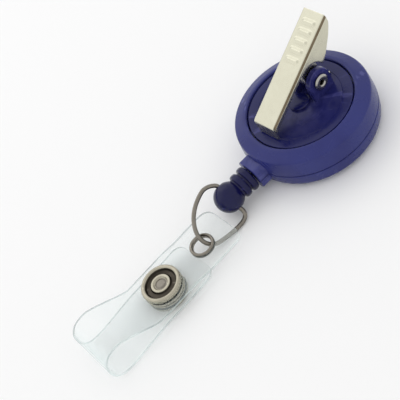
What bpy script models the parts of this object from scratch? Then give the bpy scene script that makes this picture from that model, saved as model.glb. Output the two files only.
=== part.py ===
"""Retractable badge reel with a swivel clip and a clear snap strap.

Frame: the reel's axis is Z. The origin is the middle of the label face, +Z points out of the clip side and
the cord leaves along -X. The reel lies on its front rim, so the surface it rests on is label_depth below z = 0.
"""

import math

import bmesh
import bpy
from mathutils import Matrix, Vector

mm = 0.001
case_steps = 56  # facets around the large turned pieces
small_steps = 28

# clearances
rest_gap = 0.3 * mm  # between pieces that are clamped, pressed or laid together
run_gap = 0.1 * mm  # radial, between a shaft and the hole that turns on it

# case
case_radius = 16.0 * mm
case_wall = 1.2 * mm
front_height = 4.0 * mm  # label face to the parting line
back_height = 4.2 * mm  # parting line to the back edge
back_dome = 1.3 * mm  # back edge to the top of the back rim
front_dome = 1.3 * mm  # front edge to the front rim
edge_inset = 0.3 * mm  # how much the wall draws in from the parting line to an edge
label_radius = 10.3 * mm
label_depth = 0.4 * mm
label_wall = 1.1 * mm
seat_radius = 12.35 * mm  # recess that holds the swivel base
seat_depth = 1.6 * mm
lip_height = 1.0 * mm
lip_wall = 0.7 * mm
collar_length = 2.0 * mm
collar_width = 7.0 * mm
collar_height = 5.8 * mm

# reel inside
spool_side_gap = 0.5 * mm  # from the spool's rim to the lip around it
spool_flange = 0.5 * mm
hub_radius = 8.0 * mm
hub_wall = 0.8 * mm
arbor_radius = 1.7 * mm
arbor_stem_radius = 1.0 * mm
arbor_slot = 0.5 * mm
cord_diameter = 0.8 * mm
cord_pack = 4.2 * mm  # depth of the wound cord on the hub
spring_turns = 6
spring_strip = 0.2 * mm
knot_radius = 1.15 * mm

# swivel and clip
base_thickness = 1.0 * mm
rivet_radius = 1.0 * mm
rivet_head_radius = 2.4 * mm
rivet_head = 0.6 * mm
washer_radius = 2.9 * mm
washer_thickness = 0.25 * mm
pivot_forward = 4.83 * mm  # from the reel's axis to the clip's pin
swivel_rest = math.radians(4.9)  # how far the clip is turned about the reel's axis as it lies
pivot_height = 3.6 * mm  # from the swivel base to the clip's pin
ear_radius = 3.05 * mm
ear_inside = 4.4 * mm  # clear width between the ears
ear_thickness = 1.45 * mm
pin_radius = 1.1 * mm
pin_bore = 0.6 * mm
pin_head_radius = 1.85 * mm
pin_head = 0.5 * mm
sheet = 0.45 * mm
clip_width = 6.6 * mm
clip_slope = math.radians(26.1)
jaw_reach = 14.85 * mm  # along X, from the pin to the jaw's end
thumb_reach = 8.4 * mm  # along X, from the pin to the thumb end
plate_rise = 7.7 * mm  # from the pin straight up to the plate's outer face
flange_depth = 6.5 * mm  # straight down from the plate, at the deepest point
strip_depth = 1.3 * mm
lug_radius = 2.1 * mm
grip_count = 5
grip_pitch = 1.9 * mm
grip_end = 2.35 * mm  # from the last grip rib to the thumb end
grip_height = 0.28 * mm
spring_wire = 0.5 * mm
spring_coil_radius = 1.75 * mm
spring_coils = 2

# stopper
rib_radii = (3.05 * mm, 2.95 * mm)
rib_pitch = 2.05 * mm
rib_root = 2.5 * mm
ball_radius = 3.45 * mm
ball_past_case = 8.9 * mm  # from the case's side to the ball's centre
ring_roll = math.radians(42)  # lean of the ring's hole above level

# ring: outline in its own plane, along its length from the ball and across it
ring_wire = 0.98 * mm
ring_hole_radius = ring_wire / 2 + 0.56 * mm  # the hole it passes through in the ball
ring_length = 11.3 * mm  # from the ball's centre to the ring's far end
# far arm and near arm, from inside the ball to the tip: share of the length, and how far across
ring_arms = (
    ((-0.077, 2.87), (-0.055, 4.1), (0.05, 5.3), (0.19, 5.8), (0.45, 5.6), (0.68, 4.75), (0.87, 3.25), (0.97, 1.6)),
    ((0.077, -2.87), (0.095, -3.9), (0.15, -4.8), (0.26, -5.1), (0.4, -4.8), (0.56, -4.2), (0.76, -3.2),
     (0.88, -2.45), (0.962, -1.5)),
)
ring_aside = 3.1 * mm  # how far its far end lies to the near side of the ball
ring_sag = 0.1 * mm  # how far its far end lies under the middle of the strap's film
ring_play = 0.75 * mm  # from the ring's far end to the eyelet

# strap
strap_width = 13.0 * mm
strap_film = 0.45 * mm
strap_yaw = math.radians(2.2)
end_to_eyelet = 7.2 * mm
eyelet_to_snap = 12.1 * mm
snap_to_fold = 20.6 * mm
snap_to_short_end = 9.6 * mm
corner_cut = 2.6 * mm
fold_height = 8.6 * mm
strap_ease = 0.8 * mm  # half the length over which the film's bends are eased
eyelet_radius = 2.9 * mm
eyelet_hole = 2.15 * mm
eyelet_lip = 0.25 * mm
snap_radius = 4.7 * mm
snap_level = 3.3 * mm  # the long run at the snap, above the surface the reel lies on
eyelet_level = 2.9 * mm
short_level = 1.3 * mm

# levels that follow
floor_z = -label_depth
front_edge_z = floor_z + front_dome
parting_z = front_height
back_edge_z = parting_z + back_height
back_rim_z = back_edge_z + back_dome
seat_z = back_rim_z - seat_depth
ceiling_z = seat_z - label_wall
inner_floor_z = label_wall
inner_radius = case_radius - case_wall
lip_inside = inner_radius - rest_gap - lip_wall
spool_radius = lip_inside - spool_side_gap
cord_z = (inner_floor_z + ceiling_z) / 2 - 0.1 * mm
base_z = seat_z + rest_gap
base_top_z = base_z + base_thickness
pivot_z = base_top_z + pivot_height
collar_x = -(case_radius + collar_length)
ball_reach = case_radius + ball_past_case  # from the reel's axis
ball_centre = Vector((-ball_reach, 0, cord_z))
ring_drop = cord_z - floor_z - eyelet_level + ring_sag
ring_end = Vector((-math.sqrt(ring_length**2 - ring_aside**2 - ring_drop**2), -ring_aside, -ring_drop))
ring_seat = eyelet_hole - ring_wire / 2 - ring_play
eyelet_place = ball_centre + ring_end + Vector((-ring_seat, 0, ring_sag))


def clear_scene():
    for thing in list(bpy.data.objects):
        bpy.data.objects.remove(thing)


def finish_material(name, colour, metallic, roughness, alpha=1.0):
    material = bpy.data.materials.new(name)
    material.use_nodes = True
    shader = material.node_tree.nodes["Principled BSDF"]
    shader.inputs["Base Color"].default_value = (*colour, 1)
    shader.inputs["Metallic"].default_value = metallic
    shader.inputs["Roughness"].default_value = roughness
    shader.inputs["Alpha"].default_value = alpha
    return material


def add_object(name, mesh_data, finish, parent=None, place=(0, 0, 0)):
    thing = bpy.data.objects.new(name, mesh_data)
    bpy.context.scene.collection.objects.link(thing)
    thing.parent = parent
    thing.location = place
    if finish:
        mesh_data.materials.append(finish)
    return thing


def add_mesh(name, shape, finish, parent=None, place=(0, 0, 0)):
    bmesh.ops.remove_doubles(shape, verts=shape.verts, dist=1e-7)
    bmesh.ops.recalc_face_normals(shape, faces=shape.faces)
    data = bpy.data.meshes.new(name)
    shape.to_mesh(data)
    shape.free()
    data.shade_smooth()
    data.set_sharp_from_angle(angle=math.radians(35))
    return add_object(name, data, finish, parent, place)


def add_empty(name, place, turn=(0, 0, 0), parent=None):
    empty = add_object(name, None, None, parent, place)
    empty.rotation_euler = turn
    return empty


def as_helper(thing):
    thing.hide_render = True
    thing.display_type = "WIRE"
    return thing


def combine(target, helper, operation):
    as_helper(helper)
    step = target.modifiers.new(helper.name, "BOOLEAN")
    step.operation = operation
    step.object = helper


def turned(profile, steps=64):
    """A solid turned about Z from (radius, height) points. It closes on itself unless it starts on the axis."""
    shape = bmesh.new()
    points = [shape.verts.new((radius, 0, height)) for radius, height in profile]
    pairs = list(zip(points, points[1:]))
    if profile[0][0] > 0:
        pairs.append((points[-1], points[0]))
    edges = [shape.edges.new(pair) for pair in pairs]
    bmesh.ops.spin(shape, geom=points + edges, cent=(0, 0, 0), axis=(0, 0, 1), angle=math.tau, steps=steps,
                   use_merge=True)
    return shape


def along_x(shape):
    """Turns a shape made about Z so that its +Z end points along -X."""
    bmesh.ops.transform(shape, matrix=Matrix.Rotation(-math.pi / 2, 4, "Y"), verts=shape.verts)
    return shape


def along_y(shape):
    bmesh.ops.transform(shape, matrix=Matrix.Rotation(-math.pi / 2, 4, "X"), verts=shape.verts)
    return shape


def rod(radius, low, high, steps=32):
    return turned([(0, low), (radius, low), (radius, high), (0, high)], steps)


def swept(rings, closed=False):
    """A solid skin over rings of points, capped at both ends unless it closes on itself."""
    shape = bmesh.new()
    loops = [[shape.verts.new(point) for point in ring] for ring in rings]
    followers = loops[1:] + (loops[:1] if closed else [])
    for loop, following in zip(loops, followers):
        for index in range(len(loop)):
            onward = (index + 1) % len(loop)
            shape.faces.new((loop[index], loop[onward], following[onward], following[index]))
    if not closed:
        shape.faces.new(loops[0])
        shape.faces.new(reversed(loops[-1]))
    return shape


def plate_across(outline, low, high):
    """An (x, z) outline made solid from y = low to y = high."""
    return swept([[(x, low, z) for x, z in outline], [(x, high, z) for x, z in outline]])


def arc(centre, radius, start, stop, steps):
    """Points on an arc, angles in degrees."""
    points = []
    for step in range(steps + 1):
        angle = math.radians(start + (stop - start) * step / steps)
        points.append((centre[0] + radius * math.cos(angle), centre[1] + radius * math.sin(angle)))
    return points


def smooth_curve(points, per_span, closed=False):
    """Catmull-Rom points through the given ones."""
    points = [Vector(point) for point in points]
    count = len(points)
    spans = count if closed else count - 1
    found = []
    for span in range(spans):
        before, start, stop, after = (
            points[(span + shift) % count] if closed else points[min(max(span + shift, 0), count - 1)]
            for shift in (-1, 0, 1, 2)
        )
        for step in range(per_span):
            t = step / per_span
            found.append(0.5 * (2 * start + (stop - before) * t + (2 * before - 5 * start + 4 * stop - after) * t**2
                                + (3 * start - before - 3 * stop + after) * t**3))
    if not closed:
        found.append(points[-1])
    return found


def eased_path(points, step, reach):
    """Even steps along a line of points, with every corner eased over a reach to either side."""
    points = [Vector(point) for point in points]
    line = []
    for start, stop in zip(points, points[1:]):
        parts = max(1, round((stop - start).length / step))
        line += [start.lerp(stop, index / parts) for index in range(parts)]
    line.append(points[-1])
    window = max(1, round(reach / step))
    for _ in range(3):
        eased = []
        for index in range(len(line)):
            room = min(window, index, len(line) - 1 - index)
            near = line[index - room:index + room + 1]
            eased.append(sum(near, Vector((0,) * len(points[0]))) / len(near))
        line = eased
    return line


def wire(name, points, diameter, finish, parent=None, closed=False):
    data = bpy.data.curves.new(name, "CURVE")
    data.dimensions = "3D"
    data.bevel_depth = diameter / 2
    data.bevel_resolution = 2
    data.use_fill_caps = True
    spline = data.splines.new("POLY")
    spline.points.add(len(points) - 1)
    for point, place in zip(spline.points, points):
        point.co = (*place, 1)
    spline.use_cyclic_u = closed
    return add_object(name, data, finish, parent)


# ---- finishes

def make_finishes():
    return {
        "plastic": finish_material("case_plastic", (0.07, 0.07, 0.27), 0.0, 0.35),
        "stopper": finish_material("stopper_plastic", (0.03, 0.03, 0.16), 0.0, 0.3),
        "inner": finish_material("inner_plastic", (0.75, 0.75, 0.72), 0.0, 0.45),
        "nickel": finish_material("nickel_plate", (0.74, 0.71, 0.62), 1.0, 0.28),
        "steel": finish_material("spring_steel", (0.55, 0.54, 0.52), 1.0, 0.35),
        "ring": finish_material("ring_steel", (0.35, 0.33, 0.3), 1.0, 0.25),
        "snap": finish_material("snap_brass", (0.66, 0.6, 0.5), 1.0, 0.35),
        "cord": finish_material("cord", (0.02, 0.02, 0.05), 0.0, 0.7),
        "film": finish_material("clear_film", (0.9, 0.95, 0.95), 0.0, 0.1, 0.35),
    }


# ---- case

def collar_half(low, high):
    """Half of the block that the cord leaves through, from inside the wall outwards."""
    half = collar_width / 2
    cut = 0.5 * mm
    section = [(-half, low), (half, low), (half, high), (-half, high)]
    if high > parting_z:
        section = [(-half, low), (half, low), (half, high - cut), (half - cut, high), (cut - half, high),
                   (-half, high - cut)]
    else:
        section = [(-half, low + cut), (cut - half, low), (half - cut, low), (half, low + cut), (half, high),
                   (-half, high)]
    return swept([[(x, y, z) for y, z in section] for x in (collar_x, -inner_radius - 0.4 * mm)])


def cord_hole_cutter(name):
    cutter = rod(cord_diameter, inner_radius - 2 * mm, case_radius + collar_length + 1 * mm, 24)
    return add_mesh(name, along_x(cutter), None, None, (0, 0, cord_z))


def make_front_cover(finishes):
    top = parting_z - rest_gap / 2
    edge = case_radius - edge_inset
    boss_radius = arbor_stem_radius + rest_gap / 2 + 0.7 * mm
    boss_top = inner_floor_z + 0.25 * mm
    profile = [
        (0, 0), (label_radius, 0), (label_radius + 0.15 * mm, floor_z), (label_radius + 1.1 * mm, floor_z),
        (label_radius + 2.9 * mm, floor_z + 0.2 * mm), (edge - 1.1 * mm, front_edge_z - 0.55 * mm),
        (edge - 0.35 * mm, front_edge_z - 0.2 * mm), (edge, front_edge_z + 0.15 * mm),
        (case_radius - edge_inset / 3, (front_edge_z + parting_z) / 2), (case_radius, top),
        (lip_inside + lip_wall, top), (lip_inside + lip_wall, top + lip_height - 0.2 * mm),
        (lip_inside + lip_wall - 0.2 * mm, top + lip_height),
        (lip_inside, top + lip_height), (lip_inside, inner_floor_z + 0.4 * mm),
        (lip_inside - 0.4 * mm, inner_floor_z), (boss_radius, inner_floor_z), (boss_radius, boss_top),
        (arbor_stem_radius + rest_gap / 2, boss_top), (arbor_stem_radius + rest_gap / 2, 0.5 * mm), (0, 0.5 * mm),
    ]
    cover = add_mesh("front_cover", turned(profile, case_steps), finishes["plastic"])
    low = cord_z - collar_height / 2
    combine(cover, add_mesh("front_collar", collar_half(low, top), None), "UNION")
    combine(cover, cord_hole_cutter("front_cord_hole"), "DIFFERENCE")


def make_rear_cover(finishes):
    bottom = parting_z + rest_gap / 2
    edge = case_radius - edge_inset
    lip_clear = inner_radius + rest_gap
    hole = rivet_radius + run_gap
    profile = [
        (case_radius, bottom), (case_radius - edge_inset / 3, (back_edge_z + parting_z) / 2),
        (edge, back_edge_z - 0.1 * mm), (edge - 0.15 * mm, back_edge_z + 0.12 * mm),
        (edge - 1.2 * mm, back_edge_z + 0.62 * mm), (seat_radius + 0.9 * mm, back_rim_z - 0.12 * mm),
        (seat_radius + 0.25 * mm, back_rim_z), (seat_radius, back_rim_z - 0.2 * mm), (seat_radius, seat_z),
        (hole, seat_z), (hole, ceiling_z), (inner_radius - 1.4 * mm, ceiling_z), (inner_radius, ceiling_z - 0.9 * mm),
        (inner_radius, bottom + lip_height + rest_gap + 0.3 * mm), (lip_clear, bottom + lip_height + rest_gap),
        (lip_clear, bottom),
    ]
    cover = add_mesh("rear_cover", turned(profile, case_steps), finishes["plastic"])
    high = cord_z + collar_height / 2
    combine(cover, add_mesh("rear_collar", collar_half(bottom, high), None), "UNION")
    combine(cover, cord_hole_cutter("rear_cord_hole"), "DIFFERENCE")


# ---- reel inside

def make_arbor(finishes):
    bottom = 0.5 * mm + rest_gap
    step = inner_floor_z + 0.25 * mm + rest_gap
    top = ceiling_z - 1.6 * mm
    profile = [(0, bottom), (arbor_stem_radius, bottom), (arbor_stem_radius, step), (arbor_radius, step),
               (arbor_radius, top - 0.2 * mm), (arbor_radius - 0.2 * mm, top), (0, top)]
    arbor = add_mesh("arbor_post", turned(profile, 20), finishes["steel"])
    half = arbor_slot / 2
    slot = plate_across([(-half, step + 0.9 * mm), (half, step + 0.9 * mm), (half, top + 1 * mm),
                         (-half, top + 1 * mm)], -2 * arbor_radius, 2 * arbor_radius)
    combine(arbor, add_mesh("arbor_slot", slot, None), "DIFFERENCE")
    return top


def make_spool(finishes):
    low = inner_floor_z + 0.25 * mm + rest_gap + 0.1 * mm
    high = ceiling_z - 1.45 * mm
    web = low + spool_flange
    hole = arbor_radius + run_gap
    profile = [(hole, low), (spool_radius, low), (spool_radius, web), (hub_radius, web),
               (hub_radius, high - spool_flange), (spool_radius, high - spool_flange), (spool_radius, high),
               (hub_radius - hub_wall, high), (hub_radius - hub_wall, web), (hole, web)]
    axle = add_empty("spool_axis", (0, 0, 0))
    add_mesh("spool", turned(profile, case_steps), finishes["inner"], axle)
    inside = hub_radius + rest_gap
    outside = hub_radius + cord_pack
    bottom = web + rest_gap
    top = high - spool_flange - rest_gap
    bulge = 0.15 * mm
    coil = [(inside, bottom), (outside - bulge, bottom), (outside, bottom + bulge), (outside, top - bulge),
            (outside - bulge, top), (inside, top)]
    add_mesh("wound_cord", turned(coil, case_steps), finishes["cord"], axle)
    return web + rest_gap, high - rest_gap


def make_power_spring(finishes, low, high):
    """A flat spiral from the arbor's slot out to the hub, with its inner end turned into the slot."""
    start = arbor_radius + rest_gap
    stop = hub_radius - hub_wall - rest_gap - spring_strip
    per_turn = 16
    count = spring_turns * per_turn
    rings = []
    for index in range(count + 1):
        angle = math.tau * index / per_turn
        inner = start + (stop - start) * index / count
        outer = inner + spring_strip
        across = Vector((math.cos(angle), math.sin(angle), 0))
        rings.append([across * inner + Vector((0, 0, low)), across * outer + Vector((0, 0, low)),
                      across * outer + Vector((0, 0, high)), across * inner + Vector((0, 0, high))])
    add_mesh("power_spring", swept(rings), finishes["steel"])


def make_cord(finishes):
    """The run from the wound cord to the neck, the run through the neck, and the knot in the stopper."""
    reach = hub_radius + cord_pack + cord_diameter / 2 + 0.1 * mm
    neck = lip_inside - 0.5 * mm
    tangent = math.acos(reach / neck)
    start = Vector((-reach * math.cos(tangent), reach * math.sin(tangent), cord_z))
    bend = Vector((-neck, 0, cord_z))
    run = bend - start
    route = [start + run * 0.1, start + run * 0.45, start + run * 0.8, bend + Vector((0.1 * mm, 0.35 * mm, 0)),
             bend + Vector((-0.35 * mm, 0, 0))]
    wire("cord_lead", smooth_curve(route, 4), cord_diameter, finishes["cord"])
    first = neck + 0.35 * mm + rest_gap
    last = knot_centre() - knot_radius - rest_gap
    pull = add_empty("cord_end", (-first, 0, cord_z))
    steps = 6
    places = [(-(last - first) * step / steps, 0, 0) for step in range(steps + 1)]
    wire("pull_cord", places, cord_diameter, finishes["cord"], pull)
    knot = turned([(radius, height) for height, radius in arc((0, 0), knot_radius, 180, 0, 6)], 12)
    add_mesh("cord_knot", along_x(knot), finishes["cord"], pull, (first - knot_centre(), 0, 0))


def knot_centre():
    return case_radius + collar_length + rest_gap + 1.65 * rib_pitch


# ---- stopper and ring

def make_stopper(finishes):
    """Ribs and a ball in one moulding, with a bore and a knot chamber along it and a cross hole."""
    start = case_radius + collar_length + rest_gap
    bore = cord_diameter / 2 + 0.35 * mm
    chamber = knot_radius + 0.35 * mm
    knot = knot_centre()
    outline = []
    for index, radius in enumerate(rib_radii):
        foot = start + index * rib_pitch
        width = rib_pitch * 0.75
        outline += [(rib_root, foot - 0.05 * mm), (radius - 0.25 * mm, foot), (radius, foot + width * 0.3),
                    (radius, foot + width * 0.7), (radius - 0.25 * mm, foot + width),
                    (rib_root, foot + width + 0.05 * mm)]
    outline[0] = (rib_root, start)
    neck_end = start + len(rib_radii) * rib_pitch
    opening = math.degrees(math.asin(rib_root * 0.98 / ball_radius))
    face = ball_reach - ball_radius * math.cos(math.radians(opening))
    ball = [(radius, ball_reach - along) for along, radius in arc((0, 0), ball_radius, opening, 180, 9)]
    ball[-1] = (0, ball_reach + ball_radius)
    if neck_end < face:
        outline.append((rib_root, neck_end))
    inside = [(0, knot + chamber)]
    inside += [(chamber * math.sin(math.radians(a)), knot + chamber * math.cos(math.radians(a))) for a in (30, 60, 90)]
    shoulder = math.asin(bore / chamber)
    inside += [(chamber * math.sin(a), knot + chamber * math.cos(a)) for a in (math.radians(120), math.pi - shoulder)]
    inside.append((bore, start))
    profile = inside + outline + ball
    axle = add_empty("stopper_axis", (0, 0, cord_z))
    stopper = add_mesh("cord_stopper", along_x(turned(profile, small_steps)), finishes["stopper"], axle)
    hole = along_y(rod(ring_hole_radius, -2 * ball_radius, 2 * ball_radius, 24))
    cutter = add_mesh("ring_hole", hole, None, None, ball_centre)
    cutter.rotation_euler = (ring_roll, 0, 0)
    combine(stopper, cutter, "DIFFERENCE")


def ring_frame():
    """The ring's own directions: along it, from the ball to its far end, and across it."""
    hole = Vector((0, math.cos(ring_roll), math.sin(ring_roll)))
    along = ring_end.normalized()
    return along, (hole - along * hole.dot(along)).normalized()


def make_ring(finishes):
    length, across = ring_frame()
    far, near = ring_arms
    outline = [(0, 0)] + list(far) + [(1, 0)] + list(reversed(near))
    places = [length * (share * ring_length) + across * (aside * mm) for share, aside in outline]
    axle = add_empty("ring_axis", ball_centre)
    wire("link_ring", smooth_curve(places, 3, closed=True), ring_wire, finishes["ring"], axle, closed=True)


# ---- clip

def make_swivel(finishes):
    axle = add_empty("swivel_axis", (0, 0, 0), (0, 0, swivel_rest))
    edge = seat_radius - rest_gap
    hole = rivet_radius + run_gap
    profile = [(hole, base_z), (edge, base_z), (edge, base_top_z - 0.15 * mm), (edge - 0.15 * mm, base_top_z),
               (hole, base_top_z)]
    base = add_mesh("swivel_base", turned(profile, case_steps), finishes["plastic"], axle)
    foot = base_top_z - 0.5 * base_thickness
    outline = [(pivot_forward - ear_radius, foot)]
    outline += arc((pivot_forward, pivot_z), ear_radius, 180, 0, 14)
    outline += [(pivot_forward + ear_radius, foot)]
    for side, label in ((-1, "near"), (1, "far")):
        low, high = sorted((side * ear_inside / 2, side * (ear_inside / 2 + ear_thickness)))
        combine(base, add_mesh(f"{label}_ear", plate_across(outline, low, high), None, axle), "UNION")
    width = ear_inside + 2 * ear_thickness + 2 * mm
    bore = along_y(rod(pin_radius + rest_gap / 2, -width / 2, width / 2, 32))
    combine(base, add_mesh("ear_bore", bore, None, axle, (pivot_forward, 0, pivot_z)), "DIFFERENCE")
    half = ear_inside / 2 + ear_thickness
    face = half + rest_gap
    head = face + pin_head
    pin = [(pin_bore, -head), (pin_head_radius - 0.2 * mm, -head), (pin_head_radius, -face - 0.2 * mm),
           (pin_head_radius, -face), (pin_radius, -face), (pin_radius, face), (pin_head_radius, face),
           (pin_head_radius, face + 0.2 * mm), (pin_head_radius - 0.2 * mm, head), (pin_bore, head)]
    add_mesh("clip_pin", along_y(turned(pin, small_steps)), finishes["nickel"], axle, (pivot_forward, 0, pivot_z))
    make_clip_spring(finishes, axle)
    top = base_top_z + rest_gap
    tail = ceiling_z - rest_gap - washer_thickness - rest_gap
    rivet = [(0, tail - 0.5 * mm), (1.7 * mm, tail - 0.5 * mm), (1.7 * mm, tail), (rivet_radius, tail),
             (rivet_radius, top), (rivet_head_radius, top), (rivet_head_radius, top + 0.15 * mm),
             (rivet_head_radius * 0.7, top + rivet_head * 0.8), (0, top + rivet_head)]
    add_mesh("swivel_rivet", turned(rivet, small_steps), finishes["nickel"])
    high = ceiling_z - rest_gap
    washer = [(rivet_radius + rest_gap / 2, high - washer_thickness), (washer_radius, high - washer_thickness),
              (washer_radius, high), (rivet_radius + rest_gap / 2, high)]
    add_mesh("swivel_washer", turned(washer, small_steps), finishes["steel"])
    return axle


def plate_z(x):
    """Height of the lever's outer face over the pin, x mm forward of the pin."""
    return plate_rise + x * math.tan(clip_slope)


def make_clip_spring(finishes, axle):
    """A torsion spring on the pin: one leg lies on the swivel base, the other presses up under the lever."""
    reach = ear_inside / 2 - sheet - 2 * rest_gap - spring_wire / 2
    per_turn = 12
    start = -math.pi / 2
    finish = math.tau * spring_coils + math.pi / 2 + clip_slope
    count = round((finish - start) / math.tau * per_turn)
    points = []
    leg_floor = base_top_z + rest_gap + spring_wire / 2 - pivot_z
    leg = 4.6 * mm
    points.append((leg, -reach, leg_floor))
    points.append((leg * 0.55, -reach, leg_floor))
    for index in range(count + 1):
        share = index / count
        angle = start - (finish - start) * share
        points.append((spring_coil_radius * math.cos(angle), -reach + 2 * reach * share,
                       spring_coil_radius * math.sin(angle)))
    end_x = 6.6 * mm
    under = (sheet + rest_gap + spring_wire / 2) / math.cos(clip_slope)
    last = Vector(points[-1])
    end = Vector((end_x, reach, plate_z(end_x) - under))
    points.append(tuple(last.lerp(end, 0.5)))
    points.append(tuple(end))
    bent = eased_path(points, 0.25 * mm, 0.3 * mm)[::2]
    spring = wire("clip_spring", bent, spring_wire, finishes["steel"], axle)
    spring.location = (pivot_forward, 0, pivot_z)


def lever_plate():
    """Side outline of the top plate: jaw wall, plate and grip ribs near the thumb end."""
    across = Vector((-math.sin(clip_slope), 0, math.cos(clip_slope)))
    jaw = -jaw_reach
    jaw_foot = base_top_z + rest_gap - pivot_z
    outer = [(jaw, jaw_foot), (jaw, plate_z(jaw) - 0.5 * mm), (jaw + 0.35 * mm, plate_z(jaw + 0.35 * mm))]
    inner_x = jaw + sheet
    sunk = sheet / math.cos(clip_slope)
    grips = []
    first = thumb_reach - grip_end - (grip_count - 1) * grip_pitch
    for index in range(grip_count):
        centre = first + index * grip_pitch
        for shift, rise in ((-0.75, 0), (-0.35, 0.8), (0, 1), (0.35, 0.8), (0.75, 0)):
            x = centre + shift * mm
            grips.append(Vector((x, 0, plate_z(x))) + across * grip_height * rise)
    outer += [(point.x, point.z) for point in grips]
    end = thumb_reach
    outer += [(end, plate_z(end))]
    lower = [(end, plate_z(end) - sunk)]
    lower += [(point.x, point.z - sunk) for point in reversed(grips)]
    lower += [(inner_x, plate_z(inner_x) - sunk), (inner_x, jaw_foot)]
    return outer + lower


def flange_outline():
    """Side outline of a flange: a shallow strip at the jaw, deepest just ahead of the ear, shallow at the thumb."""
    sunk = 0.06 * mm
    jaw = -jaw_reach + 0.05 * mm
    thumb = thumb_reach + 0.25 * mm
    top = [(jaw, plate_z(jaw) - 0.9 * mm), (jaw + 0.4 * mm, plate_z(jaw + 0.4 * mm) - sunk),
           (thumb - 0.3 * mm, plate_z(thumb - 0.3 * mm) - sunk), (thumb, plate_z(thumb) - 1.0 * mm)]
    free_edge = [(0.97, 0.3), (0.83, 0.58), (0.62, 0.84), (0.43, 0.98), (0.35, 1.0)]
    edge = [(thumb * along, plate_z(thumb * along) - flange_depth * deep) for along, deep in free_edge]
    clear = ear_radius + rest_gap
    low = edge[-1][1]
    point = (math.sqrt(max(clear**2 - low**2, 0)) + 0.15 * mm, low)
    notch_x = -2.2 * mm
    notch_top = plate_z(notch_x) - strip_depth
    notch = []
    for across, up in arc((0, 0), 1, 0, 90, 6):
        notch.append((notch_x + (point[0] - notch_x) * across, point[1] + (notch_top - point[1]) * up))
    return top + edge + notch + [(jaw, plate_z(jaw) - 1.5 * mm)]


def make_lever(finishes, swivel):
    axle = add_empty("lever_axis", (pivot_forward, 0, pivot_z), (0, 0, 0), swivel)
    half = clip_width / 2
    lever = add_mesh("clip_lever", plate_across(lever_plate(), -half, half), finishes["nickel"], axle)
    for side, label in ((-1, "near"), (1, "far")):
        low, high = sorted((side * (half - sheet), side * (half - 0.02 * mm)))
        flange = plate_across(flange_outline(), low, high)
        combine(lever, add_mesh(f"{label}_flange", flange, None, axle), "UNION")
        inner = ear_inside / 2 - rest_gap
        low, high = sorted((side * (inner - sheet), side * inner))
        top = [(x, plate_z(x) - 0.2 * mm) for x in (2.2 * mm, -2.2 * mm)]
        lug = plate_across(top + arc((0, 0), lug_radius, 180, 360, 12), low, high)
        combine(lever, add_mesh(f"{label}_lug", lug, None, axle), "UNION")
    bore = along_y(rod(pin_radius + run_gap, -half, half, 32))
    combine(lever, add_mesh("lever_bore", bore, None, axle), "DIFFERENCE")


# ---- strap

def strap_levels():
    """Heights over the eyelet's level of the long run and the short run at the snap."""
    return snap_level - eyelet_level, short_level - eyelet_level


def strap_routes():
    """Mid-line of the film from the eyelet: the long run down to the nose of the fold, and the short run."""
    upper, lower = strap_levels()
    snap = -eyelet_to_snap
    nose = snap - snap_to_fold
    base = -eyelet_level + strap_film / 2 + 0.05 * mm
    high = base + fold_height - strap_film
    middle = base + fold_height * 0.45
    eyelet_flat = eyelet_radius + 1.2 * mm
    snap_flat = snap_radius + 1.3 * mm
    long_run = [(end_to_eyelet, -0.1 * mm), (eyelet_flat, 0), (-eyelet_flat, 0), (snap + snap_flat, upper),
                (snap - snap_flat, upper), (nose + 7.6 * mm, high - 1.1 * mm), (nose + 5 * mm, high + 0.1 * mm),
                (nose + 1.8 * mm, high - 0.4 * mm), (nose, middle + 1.7 * mm), (nose, middle)]
    short_run = [(nose, middle - rest_gap), (nose, base + 1.9 * mm), (nose + 1.8 * mm, base + 0.3 * mm),
                 (nose + 5 * mm, base + 0.1 * mm), (snap - snap_flat, lower), (snap + snap_flat, lower),
                 (snap + snap_to_short_end, lower + 0.3 * mm)]
    return long_run, short_run


def film(route, cut_start, cut_end):
    """A strip of film along an (x, z) route, with its corners cut at the ends that are free."""
    step = 0.3 * mm
    line = eased_path([(x, 0, z) for x, z in route], step, strap_ease)
    runs = [0.0]
    for point, following in zip(line, line[1:]):
        runs.append(runs[-1] + (following - point).length)
    total = runs[-1]
    rings = []
    for index, point in enumerate(line):
        free = [runs[index]] * cut_start + [total - runs[index]] * cut_end
        near_cut = bool(free) and min(free) < corner_cut + step
        if index % 3 and index < len(line) - 1 and not near_cut:
            continue
        inset = 0.0
        if free and min(free) < corner_cut:
            inset = corner_cut * (1 - math.sqrt(1 - (1 - min(free) / corner_cut) ** 2)) * 0.9
        half = strap_width / 2 - inset
        along = (line[min(index + 1, len(line) - 1)] - line[max(index - 1, 0)]).normalized()
        normal = Vector((-along.z, 0, along.x)) * (strap_film / 2)
        side = Vector((0, half, 0))
        rings.append([point + side + normal, point + side - normal, point - side - normal, point - side + normal])
    return swept(rings)


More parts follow.
